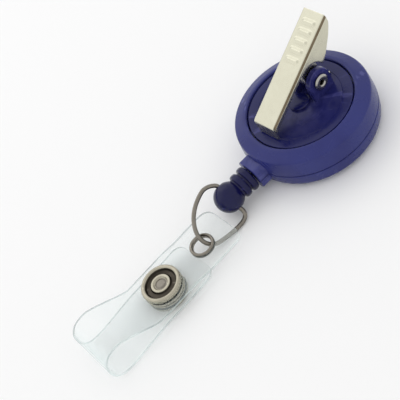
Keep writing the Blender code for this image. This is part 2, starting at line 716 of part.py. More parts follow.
def make_strap(finishes):
    frame = add_empty("strap_axis", eyelet_place, (0, 0, strap_yaw))
    long_run, short_run = strap_routes()
    upper, lower = strap_levels()
    snap = -eyelet_to_snap
    long_strip = add_mesh("strap_long", film(long_run, True, False), finishes["film"], frame)
    eyelet_bore = rod(eyelet_hole + 2 * rest_gap, -2 * mm, 2 * mm)
    combine(long_strip, add_mesh("eyelet_bore", eyelet_bore, None, frame), "DIFFERENCE")
    post_bore = rod(snap_radius * 0.3 + rest_gap, -1.5 * mm, 1.5 * mm)
    combine(long_strip, add_mesh("cap_bore", post_bore, None, frame, (snap, 0, upper)), "DIFFERENCE")
    nose = short_run[0]
    turn = add_empty("fold_axis", (nose[0], 0, nose[1]), (0, 0, 0), frame)
    shifted = [(x - nose[0], z - nose[1]) for x, z in short_run]
    short_strip = add_mesh("strap_short", film(shifted, False, True), finishes["film"], turn)
    post_bore = rod(snap_radius * 0.3 + rest_gap, -1.5 * mm, 1.5 * mm)
    combine(short_strip, add_mesh("stud_bore", post_bore, None, turn, (snap - nose[0], 0, lower - nose[1])),
            "DIFFERENCE")
    make_eyelet(finishes, frame)
    make_snap(finishes, frame, turn, (snap, 0, upper), (snap - nose[0], 0, lower - nose[1]))


def make_eyelet(finishes, frame):
    face = strap_film / 2 + rest_gap / 2
    wall = 0.3 * mm
    outer = face + eyelet_lip
    barrel = eyelet_hole + wall
    front = [(eyelet_hole, rest_gap / 2), (barrel, rest_gap / 2), (barrel, face), (eyelet_radius, face),
             (eyelet_radius, face + 0.15 * mm), (eyelet_radius - 0.2 * mm, outer), (eyelet_hole + 0.15 * mm, outer),
             (eyelet_hole, outer - 0.15 * mm)]
    add_mesh("eyelet_front", turned(front, small_steps), finishes["ring"], frame)
    back = [(radius, -height) for radius, height in front]
    add_mesh("eyelet_back", turned(back, small_steps), finishes["ring"], frame)


def make_snap(finishes, frame, turn, upper_place, lower_place):
    """Ring-topped cap and socket on the long run, stud and post on the short run."""
    face = strap_film / 2 + rest_gap / 2
    rim = snap_radius
    shank = rim * 0.3
    tall = 1.2 * mm
    cap = [(0, face + 0.25 * mm), (0, face + 0.75 * mm), (rim * 0.30, face + 0.75 * mm),
           (rim * 0.36, face + 0.95 * mm), (rim * 0.48, face + 0.95 * mm), (rim * 0.54, face + 0.45 * mm),
           (rim * 0.72, face + 0.35 * mm), (rim * 0.78, face + tall * 0.85), (rim * 0.86, face + tall),
           (rim * 0.94, face + tall * 0.95), (rim, face + tall * 0.7), (rim, face), (shank, face), (shank, 0.05 * mm),
           (shank * 0.6, 0.05 * mm), (shank * 0.6, face + 0.25 * mm)]
    add_mesh("snap_cap", turned(cap[::-1], small_steps), finishes["snap"], frame, upper_place)
    gap_below = (snap_level - short_level) - 2 * face
    stud_flange = 0.35 * mm
    socket_deep = gap_below - stud_flange - rest_gap
    mouth = rim * 0.46
    socket = [(shank * 0.55, -0.1 * mm), (shank * 0.95, -0.1 * mm), (shank * 0.95, -face), (rim * 0.97, -face),
              (rim, -face - 0.2 * mm), (rim * 0.93, -face - socket_deep), (mouth, -face - socket_deep),
              (mouth, -face - 0.3 * mm), (shank * 0.55, -face - 0.3 * mm)]
    add_mesh("snap_socket", turned(socket, small_steps), finishes["snap"], frame, upper_place)
    stud_rise = socket_deep + stud_flange
    stud = [(shank * 0.95, face), (rim * 0.95, face), (rim * 0.95, face + stud_flange),
            (mouth - 0.45 * mm, face + stud_flange), (mouth - 0.35 * mm, face + stud_flange + 0.35 * mm),
            (mouth - 0.6 * mm, face + stud_rise - 0.1 * mm), (shank * 0.95, face + stud_rise - 0.1 * mm)]
    add_mesh("snap_stud", turned(stud, small_steps), finishes["snap"], turn, lower_place)
    depth = short_level - face - 0.05 * mm
    post = [(0, -face - depth), (rim * 0.85, -face - depth), (rim, -face - depth * 0.5), (rim, -face),
            (shank * 0.8, -face), (shank * 0.8, face + 0.2 * mm), (0, face + 0.2 * mm)]
    add_mesh("snap_post", turned(post, small_steps), finishes["snap"], turn, lower_place)


def main():
    clear_scene()
    finishes = make_finishes()
    make_front_cover(finishes)
    make_rear_cover(finishes)
    make_arbor(finishes)
    low, high = make_spool(finishes)
    make_power_spring(finishes, low, high)
    make_cord(finishes)
    make_stopper(finishes)
    make_ring(finishes)
    swivel = make_swivel(finishes)
    make_lever(finishes, swivel)
    make_strap(finishes)


main()
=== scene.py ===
# A retractable badge reel with its swivel clip, link ring and snap strap, lying clip side up.
import math

import bmesh
import bpy
from mathutils import Matrix, Vector


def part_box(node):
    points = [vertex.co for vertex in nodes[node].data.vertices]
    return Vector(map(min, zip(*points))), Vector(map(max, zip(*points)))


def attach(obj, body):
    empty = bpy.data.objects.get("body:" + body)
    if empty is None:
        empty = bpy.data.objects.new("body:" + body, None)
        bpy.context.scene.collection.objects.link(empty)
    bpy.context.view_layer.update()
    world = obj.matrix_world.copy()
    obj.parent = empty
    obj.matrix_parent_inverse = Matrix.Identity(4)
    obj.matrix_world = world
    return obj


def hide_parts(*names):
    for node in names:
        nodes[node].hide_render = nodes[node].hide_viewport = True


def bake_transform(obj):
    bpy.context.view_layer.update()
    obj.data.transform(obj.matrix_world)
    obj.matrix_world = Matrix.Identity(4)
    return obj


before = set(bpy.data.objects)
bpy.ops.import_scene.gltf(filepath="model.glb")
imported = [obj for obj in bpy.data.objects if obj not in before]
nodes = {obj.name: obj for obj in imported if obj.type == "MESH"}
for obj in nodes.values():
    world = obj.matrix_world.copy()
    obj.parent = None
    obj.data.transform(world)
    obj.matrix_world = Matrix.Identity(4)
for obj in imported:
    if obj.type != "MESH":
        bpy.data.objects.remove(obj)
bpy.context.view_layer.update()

mm = 0.001


def reachOf(node):
    low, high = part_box(node)
    return Vector(low), Vector(high)


def middleOf(node):
    low, high = reachOf(node)
    return (low + high) / 2


# Where things are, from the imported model
frontLow = reachOf("front_cover")[0]
rearHigh = reachOf("rear_cover")[1]
baseLow = reachOf("swivel_base")[0]
pinMiddle = middleOf("clip_pin")
knotMiddle = middleOf("cord_knot")
eyeletMiddle = (middleOf("eyelet_front") + middleOf("eyelet_back")) / 2
leverLow = reachOf("clip_lever")[0]
caseRadius = rearHigh.x
floorLevel = frontLow.z
cordLevel = knotMiddle.z
seatTop = baseLow.z + 1.0 * mm
print("frame loaded")


def finishPiece(name, shape, material, body=None, sharp=40, replaces=None):
    bmesh.ops.remove_doubles(shape, verts=shape.verts, dist=1e-7)
    bmesh.ops.recalc_face_normals(shape, faces=shape.faces)
    data = bpy.data.meshes.new(name)
    shape.to_mesh(data)
    shape.free()
    data.shade_smooth()
    data.set_sharp_from_angle(angle=math.radians(sharp))
    piece = bpy.data.objects.new(name, data)
    bpy.context.scene.collection.objects.link(piece)
    for one in material if isinstance(material, (list, tuple)) else [material]:
        data.materials.append(finishes.get(one, one))
    if body:
        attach(piece, body)
    if replaces:
        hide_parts(replaces)
    return piece


def rounded(points, radius, steps=4, closed=False):
    # (a, b) points with each corner rounded by a radius in mm; a point may carry its own as a third number
    found = []
    count = len(points)
    for index, point in enumerate(points):
        here = Vector(point[:2])
        size = (point[2] if len(point) > 2 else radius) * mm
        if size <= 0 or (not closed and index in (0, count - 1)):
            found.append(tuple(here))
            continue
        before = Vector(points[index - 1][:2])
        after = Vector(points[(index + 1) % count][:2])
        into, out = (before - here), (after - here)
        size = min(size, into.length * 0.48, out.length * 0.48)
        start, stop = here + into.normalized() * size, here + out.normalized() * size
        for step in range(steps + 1):
            t = step / steps
            found.append(tuple(start * (1 - t) ** 2 + here * 2 * t * (1 - t) + stop * t ** 2))
    return found


def turnedShape(profile, steps=160, closed=True):
    # turned about Z from (radius, height) points
    shape = bmesh.new()
    rings = []
    for radius, height in profile:
        if radius < 1e-7:
            rings.append([shape.verts.new((0, 0, height))])
        else:
            rings.append([shape.verts.new((radius * math.cos(math.tau * k / steps),
                                           radius * math.sin(math.tau * k / steps), height))
                          for k in range(steps)])
    pairs = list(zip(rings, rings[1:]))
    if closed:
        pairs.append((rings[-1], rings[0]))
    for one, two in pairs:
        for k in range(steps):
            n = (k + 1) % steps
            corners = []
            for vert in (one[k % len(one)], one[n % len(one)], two[n % len(two)], two[k % len(two)]):
                if vert not in corners:
                    corners.append(vert)
            if len(corners) > 2:
                shape.faces.new(corners)
    return shape


def moved(shape, matrix):
    bmesh.ops.transform(shape, matrix=matrix, verts=shape.verts)
    return shape


def alongMinusX(shape, place):
    return moved(shape, Matrix.Translation(place) @ Matrix.Rotation(-math.pi / 2, 4, "Y"))


def alongY(shape, place):
    return moved(shape, Matrix.Translation(place) @ Matrix.Rotation(-math.pi / 2, 4, "X"))


def joined(*shapes):
    whole = bmesh.new()
    for shape in shapes:
        data = bpy.data.meshes.new("part")
        shape.to_mesh(data)
        shape.free()
        whole.from_mesh(data)
        bpy.data.meshes.remove(data)
    return whole


def curveThrough(points, perSpan, closed=False):
    points = [Vector(point) for point in points]
    count = len(points)
    found = []
    for span in range(count if closed else count - 1):
        if closed:
            a, b, c, d = (points[(span + k) % count] for k in (-1, 0, 1, 2))
        else:
            a, b, c, d = (points[min(max(span + k, 0), count - 1)] for k in (-1, 0, 1, 2))
        for step in range(perSpan):
            t = step / perSpan
            found.append(0.5 * (2 * b + (c - a) * t + (2 * a - 5 * b + 4 * c - d) * t ** 2
                                + (3 * b - a - 3 * c + d) * t ** 3))
    if not closed:
        found.append(points[-1])
    return found


def easedPath(points, step, reach):
    # even steps along straight runs, with the bends eased over a reach to either side
    points = [Vector(point) for point in points]
    line = []
    for start, stop in zip(points, points[1:]):
        parts = max(1, round((stop - start).length / step))
        line += [start.lerp(stop, k / parts) for k in range(parts)]
    line.append(points[-1])
    window = round(reach / step)
    for _ in range(3):
        eased = []
        for k in range(len(line)):
            room = min(window, k, len(line) - 1 - k)
            near = line[k - room:k + room + 1]
            eased.append(sum(near, Vector((0, 0, 0))) / len(near))
        line = eased
    return line


def tubeShape(path, radius, sides=20, closed=False):
    # round wire along a path; each end is domed
    shape = bmesh.new()
    count = len(path)
    tangents = []
    for k in range(count):
        before = path[k - 1] if closed or k else path[0]
        after = path[(k + 1) % count] if closed or k < count - 1 else path[-1]
        tangents.append((after - before).normalized())
    normal = tangents[0].orthogonal().normalized()
    normals = [normal]
    for k in range(1, count):
        normal = (tangents[k - 1].rotation_difference(tangents[k]) @ normals[-1]).normalized()
        normals.append(normal)
    if closed:
        last = (tangents[-1].rotation_difference(tangents[0]) @ normals[-1]).normalized()
        twist = math.atan2(last.cross(normals[0]).dot(tangents[0]), last.dot(normals[0]))
        for k in range(count):
            normals[k] = Matrix.Rotation(twist * k / count, 3, tangents[k]) @ normals[k]
    rings = []

    def ring(place, tangent, normal, size):
        side = tangent.cross(normal)
        rings.append([shape.verts.new(place + (normal * math.cos(math.tau * s / sides)
                                               + side * math.sin(math.tau * s / sides)) * size)
                      for s in range(sides)])

    def dome(end, turn, lifts):
        for lift in lifts:
            ring(path[end] + tangents[end] * radius * 0.5 * lift * turn, tangents[end], normals[end],
                 radius * math.sqrt(max(0.02, 1 - lift ** 2)))

    if not closed:
        dome(0, -1, (1.0, 0.7, 0.35))
    for k in range(count):
        ring(path[k], tangents[k], normals[k], radius)
    if not closed:
        dome(-1, 1, (0.35, 0.7, 1.0))
    pairs = list(zip(rings, rings[1:]))
    if closed:
        pairs.append((rings[-1], rings[0]))
    for one, two in pairs:
        for s in range(sides):
            n = (s + 1) % sides
            shape.faces.new((one[s], one[n], two[n], two[s]))
    if not closed:
        shape.faces.new(rings[0])
        shape.faces.new(list(reversed(rings[-1])))
    return shape


def arcPoints(centre, radius, start, stop, steps):
    return [(centre[0] + radius * math.cos(math.radians(start + (stop - start) * k / steps)),
             centre[1] + radius * math.sin(math.radians(start + (stop - start) * k / steps)))
            for k in range(steps + 1)]


def crossing(outline, angle):
    # how far a ray from the origin runs to the (x, z) outline round it
    direction = Vector((math.cos(angle), math.sin(angle)))
    best = 0.0
    for k in range(len(outline)):
        p, q = Vector(outline[k]), Vector(outline[(k + 1) % len(outline)])
        edge = q - p
        det = direction.x * -edge.y + direction.y * edge.x
        if abs(det) < 1e-15:
            continue
        t = (p.x * -edge.y + p.y * edge.x) / det
        s = (direction.x * p.y - direction.y * p.x) / det
        if t > 0 and -1e-6 <= s <= 1 + 1e-6:
            best = max(best, t)
    return best


def boredPlate(outline, hole, low, high, edge, place, count=96):
    # a plate across Y with an (x, z) outline round a hole at the origin, its edges eased
    angles = sorted(set([math.tau * k / count for k in range(count)]
                        + [math.atan2(z, x) % math.tau for x, z in outline]))
    shape = bmesh.new()
    loops = []
    levels = [(hole + edge, low, True), (None, low, edge), (None, low + edge, 0), (None, high - edge, 0),
              (None, high, edge), (hole + edge, high, True), (hole, high - edge, True), (hole, low + edge, True)]
    for size, y, drawn in levels:
        loop = []
        for angle in angles:
            r = size if size else crossing(outline, angle) - drawn
            loop.append(shape.verts.new((r * math.cos(angle), y, r * math.sin(angle))))
        loops.append(loop)
    for one, two in zip(loops, loops[1:] + loops[:1]):
        for k in range(len(angles)):
            n = (k + 1) % len(angles)
            shape.faces.new((one[k], one[n], two[n], two[k]))
    return moved(shape, Matrix.Translation(place))


def bakeModifiers(piece, sharp):
    # keeps what the modifiers make as the piece's own mesh
    result = bpy.data.meshes.new_from_object(piece.evaluated_get(bpy.context.evaluated_depsgraph_get()))
    piece.modifiers.clear()
    old = piece.data
    piece.data = result
    result.name = piece.name
    bpy.data.meshes.remove(old)
    result.shade_smooth()
    result.set_sharp_from_angle(angle=math.radians(sharp))


def cutAway(piece, cutterShape):
    # takes a shape out of a piece
    cutter = finishPiece("cutter", cutterShape, piece.data.materials[0])
    step = piece.modifiers.new("cut", "BOOLEAN")
    step.operation = "DIFFERENCE"
    step.solver = "EXACT"
    step.object = cutter
    bakeModifiers(piece, 40)
    bpy.data.objects.remove(cutter)


def newGroup(name, inputs, outputs):
    group = bpy.data.node_groups.new(name, "ShaderNodeTree")
    for label, value in inputs.items():
        kind = "NodeSocketVector" if isinstance(value, tuple) else "NodeSocketFloat"
        group.interface.new_socket(label, in_out="INPUT", socket_type=kind).default_value = value
    for label in outputs:
        group.interface.new_socket(label, in_out="OUTPUT", socket_type="NodeSocketFloat")
    return group, group.nodes.new("NodeGroupInput"), group.nodes.new("NodeGroupOutput")


def feed(tree, node, **values):
    # links sockets and sets plain values; an underscore in a name stands for a space
    for label, value in values.items():
        socket = node.inputs[label.replace("_", " ")]
        if isinstance(value, bpy.types.NodeSocket):
            tree.links.new(value, socket)
        else:
            socket.default_value = value
    return node


def objectSpace(tree):
    return tree.nodes.new("ShaderNodeTexCoord").outputs["Object"]


def mathNode(tree, operation, first, second=None, clamp=False):
    node = tree.nodes.new("ShaderNodeMath")
    node.operation = operation
    node.use_clamp = clamp
    for index, value in enumerate((first, second)):
        if value is None:
            continue
        if isinstance(value, (int, float)):
            node.inputs[index].default_value = value
        else:
            tree.links.new(value, node.inputs[index])
    return node.outputs[0]


def times(tree, first, second, clamp=False):
    return mathNode(tree, "MULTIPLY", first, second, clamp)


def noiseNode(tree, vector, scale, detail=4.0, roughness=0.55, distortion=0.0):
    node = tree.nodes.new("ShaderNodeTexNoise")
    feed(tree, node, Detail=detail, Roughness=roughness, Distortion=distortion, Vector=vector, Scale=scale)
    return node.outputs["Fac"]


def rangeNode(tree, value, fromLow, fromHigh, toLow, toHigh):
    node = tree.nodes.new("ShaderNodeMapRange")
    feed(tree, node, Value=value, From_Min=fromLow, From_Max=fromHigh, To_Min=toLow, To_Max=toHigh)
    return node.outputs["Result"]


def makeGrainGroup():
    # fine moulded grain and a slow unevenness, both in the surface's own space
    group, ins, outs = newGroup("mouldGrain", {"Grain Scale": 4000.0, "Wave Scale": 120.0, "Wave Share": 0.6},
                                ("Height", "Mottle"))
    where = objectSpace(group)
    fine = noiseNode(group, where, ins.outputs["Grain Scale"], 3.0, 0.6)
    slow = noiseNode(group, where, ins.outputs["Wave Scale"], 3.0, 0.5, 0.4)
    share = times(group, slow, ins.outputs["Wave Share"])
    feed(group, outs, Height=mathNode(group, "ADD", fine, share),
         Mottle=rangeNode(group, slow, 0.32, 0.68, 0.0, 1.0))
    return group


def makeScratchGroup():
    # hairlines that run one way
    group, ins, outs = newGroup("hairlines", {"Scale": 900.0, "Stretch": (0.06, 1.0, 1.0), "Amount": 0.5},
                                ("Height", "Mask"))
    where = objectSpace(group)
    along = group.nodes.new("ShaderNodeVectorMath")
    along.operation = "MULTIPLY"
    group.links.new(where, along.inputs[0])
    group.links.new(ins.outputs["Stretch"], along.inputs[1])
    lines = noiseNode(group, along.outputs[0], ins.outputs["Scale"], 5.0, 0.7, 0.2)
    thin = rangeNode(group, lines, 0.55, 0.75, 0.0, 1.0)
    feed(group, outs, Mask=times(group, thin, ins.outputs["Amount"], True),
         Height=times(group, lines, ins.outputs["Amount"]))
    return group


def makeWearAndShadeGroup():
    # rubbed edges where the surface turns outwards, broken up by noise; painted shade where it turns inwards
    group, ins, outs = newGroup("rubbedEdges", {"Start": 0.52, "Stop": 0.62, "Breakup": 700.0},
                                ("Mask", "Hollow"))
    where = objectSpace(group)
    pointed = group.nodes.new("ShaderNodeNewGeometry").outputs["Pointiness"]
    broken = noiseNode(group, where, ins.outputs["Breakup"], 4.0, 0.6)
    edge = rangeNode(group, pointed, ins.outputs["Start"], ins.outputs["Stop"], 0.0, 1.0)
    patchy = rangeNode(group, broken, 0.35, 0.6, 0.25, 1.0)
    feed(group, outs, Mask=times(group, edge, patchy, True),
         Hollow=rangeNode(group, pointed, 0.49, 0.42, 0.0, 1.0))
    return group


def makeSmudgeGroup():
    # finger marks and dull patches
    group, ins, outs = newGroup("fingerMarks", {"Scale": 260.0, "Low": 0.2, "High": 0.4},
                                ("Roughness", "Mask"))
    where = objectSpace(group)
    broad = noiseNode(group, where, ins.outputs["Scale"], 6.0, 0.62, 0.8)
    mask = rangeNode(group, broad, 0.35, 0.7, 0.0, 1.0)
    span = mathNode(group, "SUBTRACT", ins.outputs["High"], ins.outputs["Low"])
    scaled = times(group, mask, span)
    feed(group, outs, Roughness=mathNode(group, "ADD", scaled, ins.outputs["Low"]),
         Mask=mask)
    return group


def makeBraidGroup():
    # the weave of a thin round cord that runs along X
    group, ins, outs = newGroup("cordBraid", {"Scale": 2600.0},
                                ("Height", "Mask"))
    where = objectSpace(group)
    bands = []
    for angle in (0.9, -0.9):
        turn = group.nodes.new("ShaderNodeMapping")
        turn.inputs["Rotation"].default_value = (0.5, 0.3, angle)
        group.links.new(where, turn.inputs["Vector"])
        wave = group.nodes.new("ShaderNodeTexWave")
        group.links.new(turn.outputs[0], wave.inputs["Vector"])
        group.links.new(ins.outputs["Scale"], wave.inputs["Scale"])
        wave.inputs["Distortion"].default_value = 0.6
        bands.append(wave.outputs["Fac"])
    height = mathNode(group, "MAXIMUM", bands[0], bands[1])
    feed(group, outs, Height=height,
         Mask=times(group, bands[0], bands[1]))
    return group


grainGroup = makeGrainGroup()
scratchGroup = makeScratchGroup()
wearAndShadeGroup = makeWearAndShadeGroup()
smudgeGroup = makeSmudgeGroup()
braidGroup = makeBraidGroup()


def placeGroup(tree, group, **values):
    node = tree.nodes.new("ShaderNodeGroup")
    node.node_tree = group
    return feed(tree, node, **values)


def mixColour(tree, share, first, second):
    node = tree.nodes.new("ShaderNodeMix")
    node.data_type = "RGBA"
    tree.links.new(share, node.inputs["Factor"])
    for socket, value in ((node.inputs[6], first), (node.inputs[7], second)):
        if isinstance(value, tuple):
            socket.default_value = (*value, 1)
        else:
            tree.links.new(value, socket)
    return node.outputs[2]


def bumpOf(tree, height, strength, distance, normal=None):
    node = tree.nodes.new("ShaderNodeBump")
    feed(tree, node, Strength=strength, Distance=distance, Height=height)
    if normal:
        feed(tree, node, Normal=normal)
    return node.outputs["Normal"]


def newMaterial(name):
    material = bpy.data.materials.new(name)
    material.use_nodes = True
    return material, material.node_tree, material.node_tree.nodes["Principled BSDF"]


plasticLooks = {
    "caseBlue": {"colour": (0.028, 0.034, 0.165), "deep": (0.02, 0.023, 0.13), "rubbed": (0.1, 0.105, 0.3),
                 "hollowShade": (0.008, 0.006, 0.075), "roughness": (0.22, 0.32), "coat": 0.06, "grain": 3600.0},
    # painted shade: the swivel parts are the case's blue plastic, darkened for the shadow and dark reflection they sit
    # in
    "swivelBlue": {"colour": (0.009, 0.011, 0.09), "deep": (0.006, 0.007, 0.072), "rubbed": (0.08, 0.08, 0.27),
                   "hollowShade": (0.006, 0.005, 0.06), "roughness": (0.2, 0.3), "coat": 0.08, "grain": 3200.0},
    "stopperNavy": {"colour": (0.004, 0.0045, 0.05), "deep": (0.0025, 0.0025, 0.034), "rubbed": (0.045, 0.045, 0.18),
                    "hollowShade": (0.003, 0.0025, 0.03), "roughness": (0.16, 0.26), "coat": 0.12, "grain": 4400.0},
    "drumWhite": {"colour": (0.62, 0.61, 0.57), "deep": (0.5, 0.49, 0.45), "rubbed": (0.75, 0.74, 0.7),
                  "hollowShade": (0.35, 0.34, 0.31), "roughness": (0.38, 0.55), "coat": 0.0, "grain": 5000.0},
}


def makePlastic(name, look):
    material, tree, shader = newMaterial(name)
    grain = placeGroup(tree, grainGroup, Grain_Scale=look["grain"], Wave_Scale=90.0, Wave_Share=1.5)
    smudge = placeGroup(tree, smudgeGroup, Scale=210.0, Low=look["roughness"][0], High=look["roughness"][1])
    wearAndShade = placeGroup(tree, wearAndShadeGroup, Start=0.515, Stop=0.6, Breakup=520.0)
    scratch = placeGroup(tree, scratchGroup, Scale=1500.0, Stretch=(0.3, 1.0, 0.5), Amount=0.4)
    body = mixColour(tree, grain.outputs["Mottle"], look["deep"], look["colour"])
    softened = mixColour(tree, times(tree, grain.outputs["Mottle"], 0.55), body, look["colour"])
    # painted shade: creases and hollows darkened toward the hollow shade colour
    shadedHollows = mixColour(tree, wearAndShade.outputs["Hollow"], softened, look["hollowShade"])
    rubbed = mixColour(tree, times(tree, wearAndShade.outputs["Mask"], 0.55), shadedHollows, look["rubbed"])
    marked = mixColour(tree, times(tree, scratch.outputs["Mask"], 0.1), rubbed, look["rubbed"])
    fine = bumpOf(tree, grain.outputs["Height"], 0.08, 0.00004)
    feed(tree, shader, Base_Color=marked, Roughness=smudge.outputs["Roughness"],
         Normal=bumpOf(tree, scratch.outputs["Height"], 0.06, 0.00003, fine),
         Coat_Weight=look["coat"], Coat_Roughness=0.16, Specular_IOR_Level=0.22)
    return material


metalLooks = {
    "clipNickel": {"colour": (0.62, 0.605, 0.485), "dull": (0.55, 0.53, 0.42), "worn": (0.72, 0.7, 0.6),
                   "creviceShade": (0.2, 0.165, 0.11), "roughness": (0.22, 0.3), "stretch": (0.08, 1.0, 1.0),
                   "lines": 1400.0},
    # painted shade: a dark band standing for the dark reflection along the lever's side bends
    "bendNickel": {"colour": (0.2, 0.16, 0.105), "dull": (0.1, 0.075, 0.045), "worn": (0.42, 0.37, 0.27),
                   "creviceShade": (0.05, 0.035, 0.02), "roughness": (0.3, 0.45), "stretch": (0.08, 1.0, 1.0),
                   "lines": 1400.0},
    "pinNickel": {"colour": (0.44, 0.43, 0.4), "dull": (0.3, 0.29, 0.265), "worn": (0.66, 0.64, 0.6),
                  "creviceShade": (0.07, 0.06, 0.05), "roughness": (0.2, 0.34), "stretch": (1.0, 0.2, 1.0), "lines": 1800.0},
    "snapBrass": {"colour": (0.43, 0.4, 0.32), "dull": (0.32, 0.295, 0.235), "worn": (0.56, 0.53, 0.44),
                  "creviceShade": (0.04, 0.034, 0.026), "roughness": (0.2, 0.36), "stretch": (1.0, 1.0, 0.3),
                  "lines": 1600.0},
    "ringNickel": {"colour": (0.24, 0.22, 0.19), "dull": (0.14, 0.125, 0.105), "worn": (0.44, 0.41, 0.36),
                   "creviceShade": (0.03, 0.025, 0.02), "roughness": (0.16, 0.3), "stretch": (0.3, 0.3, 1.0), "lines": 2000.0},
    # painted shade: a dark band for the shade in the snap cap's groove
    "snapGroove": {"colour": (0.07, 0.06, 0.048), "dull": (0.035, 0.03, 0.025), "worn": (0.2, 0.18, 0.15),
                   "creviceShade": (0.02, 0.017, 0.013), "roughness": (0.3, 0.45), "stretch": (1.0, 1.0, 0.3),
                  "lines": 1600.0},
    "springSteel": {"colour": (0.5, 0.49, 0.47), "dull": (0.3, 0.29, 0.27), "worn": (0.68, 0.67, 0.64),
                    "creviceShade": (0.05, 0.045, 0.04), "roughness": (0.22, 0.38), "stretch": (0.3, 1.0, 1.0),
                    "lines": 1800.0},
}


def makeMetal(name, look):
    material, tree, shader = newMaterial(name)
    smudge = placeGroup(tree, smudgeGroup, Scale=330.0, Low=look["roughness"][0], High=look["roughness"][1])
    wearAndShade = placeGroup(tree, wearAndShadeGroup, Start=0.52, Stop=0.62, Breakup=900.0)
    scratch = placeGroup(tree, scratchGroup, Scale=look["lines"], Stretch=look["stretch"], Amount=0.6)
    grain = placeGroup(tree, grainGroup, Grain_Scale=7000.0, Wave_Scale=240.0, Wave_Share=1.0)
    plated = mixColour(tree, times(tree, smudge.outputs["Mask"], 0.5), look["colour"], look["dull"])
    lined = mixColour(tree, times(tree, scratch.outputs["Mask"], 0.3), plated, look["dull"])
    # painted shade: creases and crevices darkened toward the crevice shade colour
    shadedHollows = mixColour(tree, times(tree, wearAndShade.outputs["Hollow"], 0.9), lined, look["creviceShade"])
    worn = mixColour(tree, wearAndShade.outputs["Mask"], shadedHollows, look["worn"])
    lines = bumpOf(tree, scratch.outputs["Height"], 0.12, 0.00004)
    feed(tree, shader, Base_Color=worn, Roughness=smudge.outputs["Roughness"],
         Normal=bumpOf(tree, grain.outputs["Height"], 0.06, 0.00003, lines), Metallic=1.0)
    return material


filmLook = {"colour": (0.84, 0.93, 0.93), "tint": (0.78, 0.88, 0.87), "edge": (0.13, 0.18, 0.175), "clear": 0.05,
            "full": 0.72, "roughness": (0.06, 0.2)}


def makeFilm(name, edge):
    material, tree, shader = newMaterial(name)
    smudge = placeGroup(tree, smudgeGroup, Scale=180.0, Low=filmLook["roughness"][0], High=filmLook["roughness"][1])
    grain = placeGroup(tree, grainGroup, Grain_Scale=1400.0, Wave_Scale=140.0, Wave_Share=3.0)
    scratch = placeGroup(tree, scratchGroup, Scale=900.0, Stretch=(0.1, 1.0, 1.0), Amount=0.5)
    body = mixColour(tree, grain.outputs["Mottle"], filmLook["colour"], filmLook["tint"])
    if edge:
        body = mixColour(tree, grain.outputs["Mottle"], filmLook["edge"], filmLook["tint"])
    slow = bumpOf(tree, grain.outputs["Height"], 0.12, 0.00012)
    feed(tree, shader, Base_Color=body, Roughness=smudge.outputs["Roughness"],
         Normal=bumpOf(tree, scratch.outputs["Height"], 0.04, 0.00004, slow), IOR=1.52, Specular_IOR_Level=0.6)
    facing = tree.nodes.new("ShaderNodeLayerWeight")
    facing.inputs["Blend"].default_value = 0.28
    low, high = (0.62, 0.9) if edge else (filmLook["clear"], filmLook["full"])
    seen = rangeNode(tree, facing.outputs["Facing"], 0.1, 0.95, low, high)
    marks = times(tree, scratch.outputs["Mask"], 0.05)
    # clear film throws hardly any shadow
    shadow = tree.nodes.new("ShaderNodeLightPath").outputs["Is Shadow Ray"]
    passing = mathNode(tree, "SUBTRACT", 1.0, times(tree, shadow, 0.75))
    shown = mathNode(tree, "ADD", seen, marks, True)
    feed(tree, shader, Alpha=times(tree, shown, passing))
    return material


cordLook = {"colour": (0.03, 0.03, 0.05), "thread": (0.09, 0.09, 0.13)}


def makeCord(name):
    material, tree, shader = newMaterial(name)
    braid = placeGroup(tree, braidGroup, Scale=2600.0)
    smudge = placeGroup(tree, smudgeGroup, Scale=900.0, Low=0.6, High=0.85)
    feed(tree, shader, Roughness=smudge.outputs["Roughness"],
         Base_Color=mixColour(tree, braid.outputs["Mask"], cordLook["colour"], cordLook["thread"]),
         Normal=bumpOf(tree, braid.outputs["Height"], 0.5, 0.00008))
    return material


finishes = {name: makePlastic(name, look) for name, look in plasticLooks.items()}
finishes.update({name: makeMetal(name, look) for name, look in metalLooks.items()})
finishes["clearFilm"] = makeFilm("clearFilm", False)
finishes["filmEdge"] = makeFilm("filmEdge", True)
finishes["blackCord"] = makeCord("blackCord")
print("finishes made:", len(finishes))


caseLook = {
    "collarWidth": 7.0 * mm, "collarHeight": 5.8 * mm, "collarCut": 1.2 * mm, "partingLevel": 4.0 * mm,
    "seam": 0.09 * mm, "edgeInset": 0.3 * mm, "labelRadius": 10.3 * mm, "seatRadius": 12.35 * mm,
    "wall": 1.2 * mm, "cordHole": 0.8 * mm,
}
parting = caseLook["partingLevel"]
edgeRadius = caseRadius - caseLook["edgeInset"]
backEdge = rearHigh.z - 1.3 * mm
frontEdge = floorLevel + 1.3 * mm


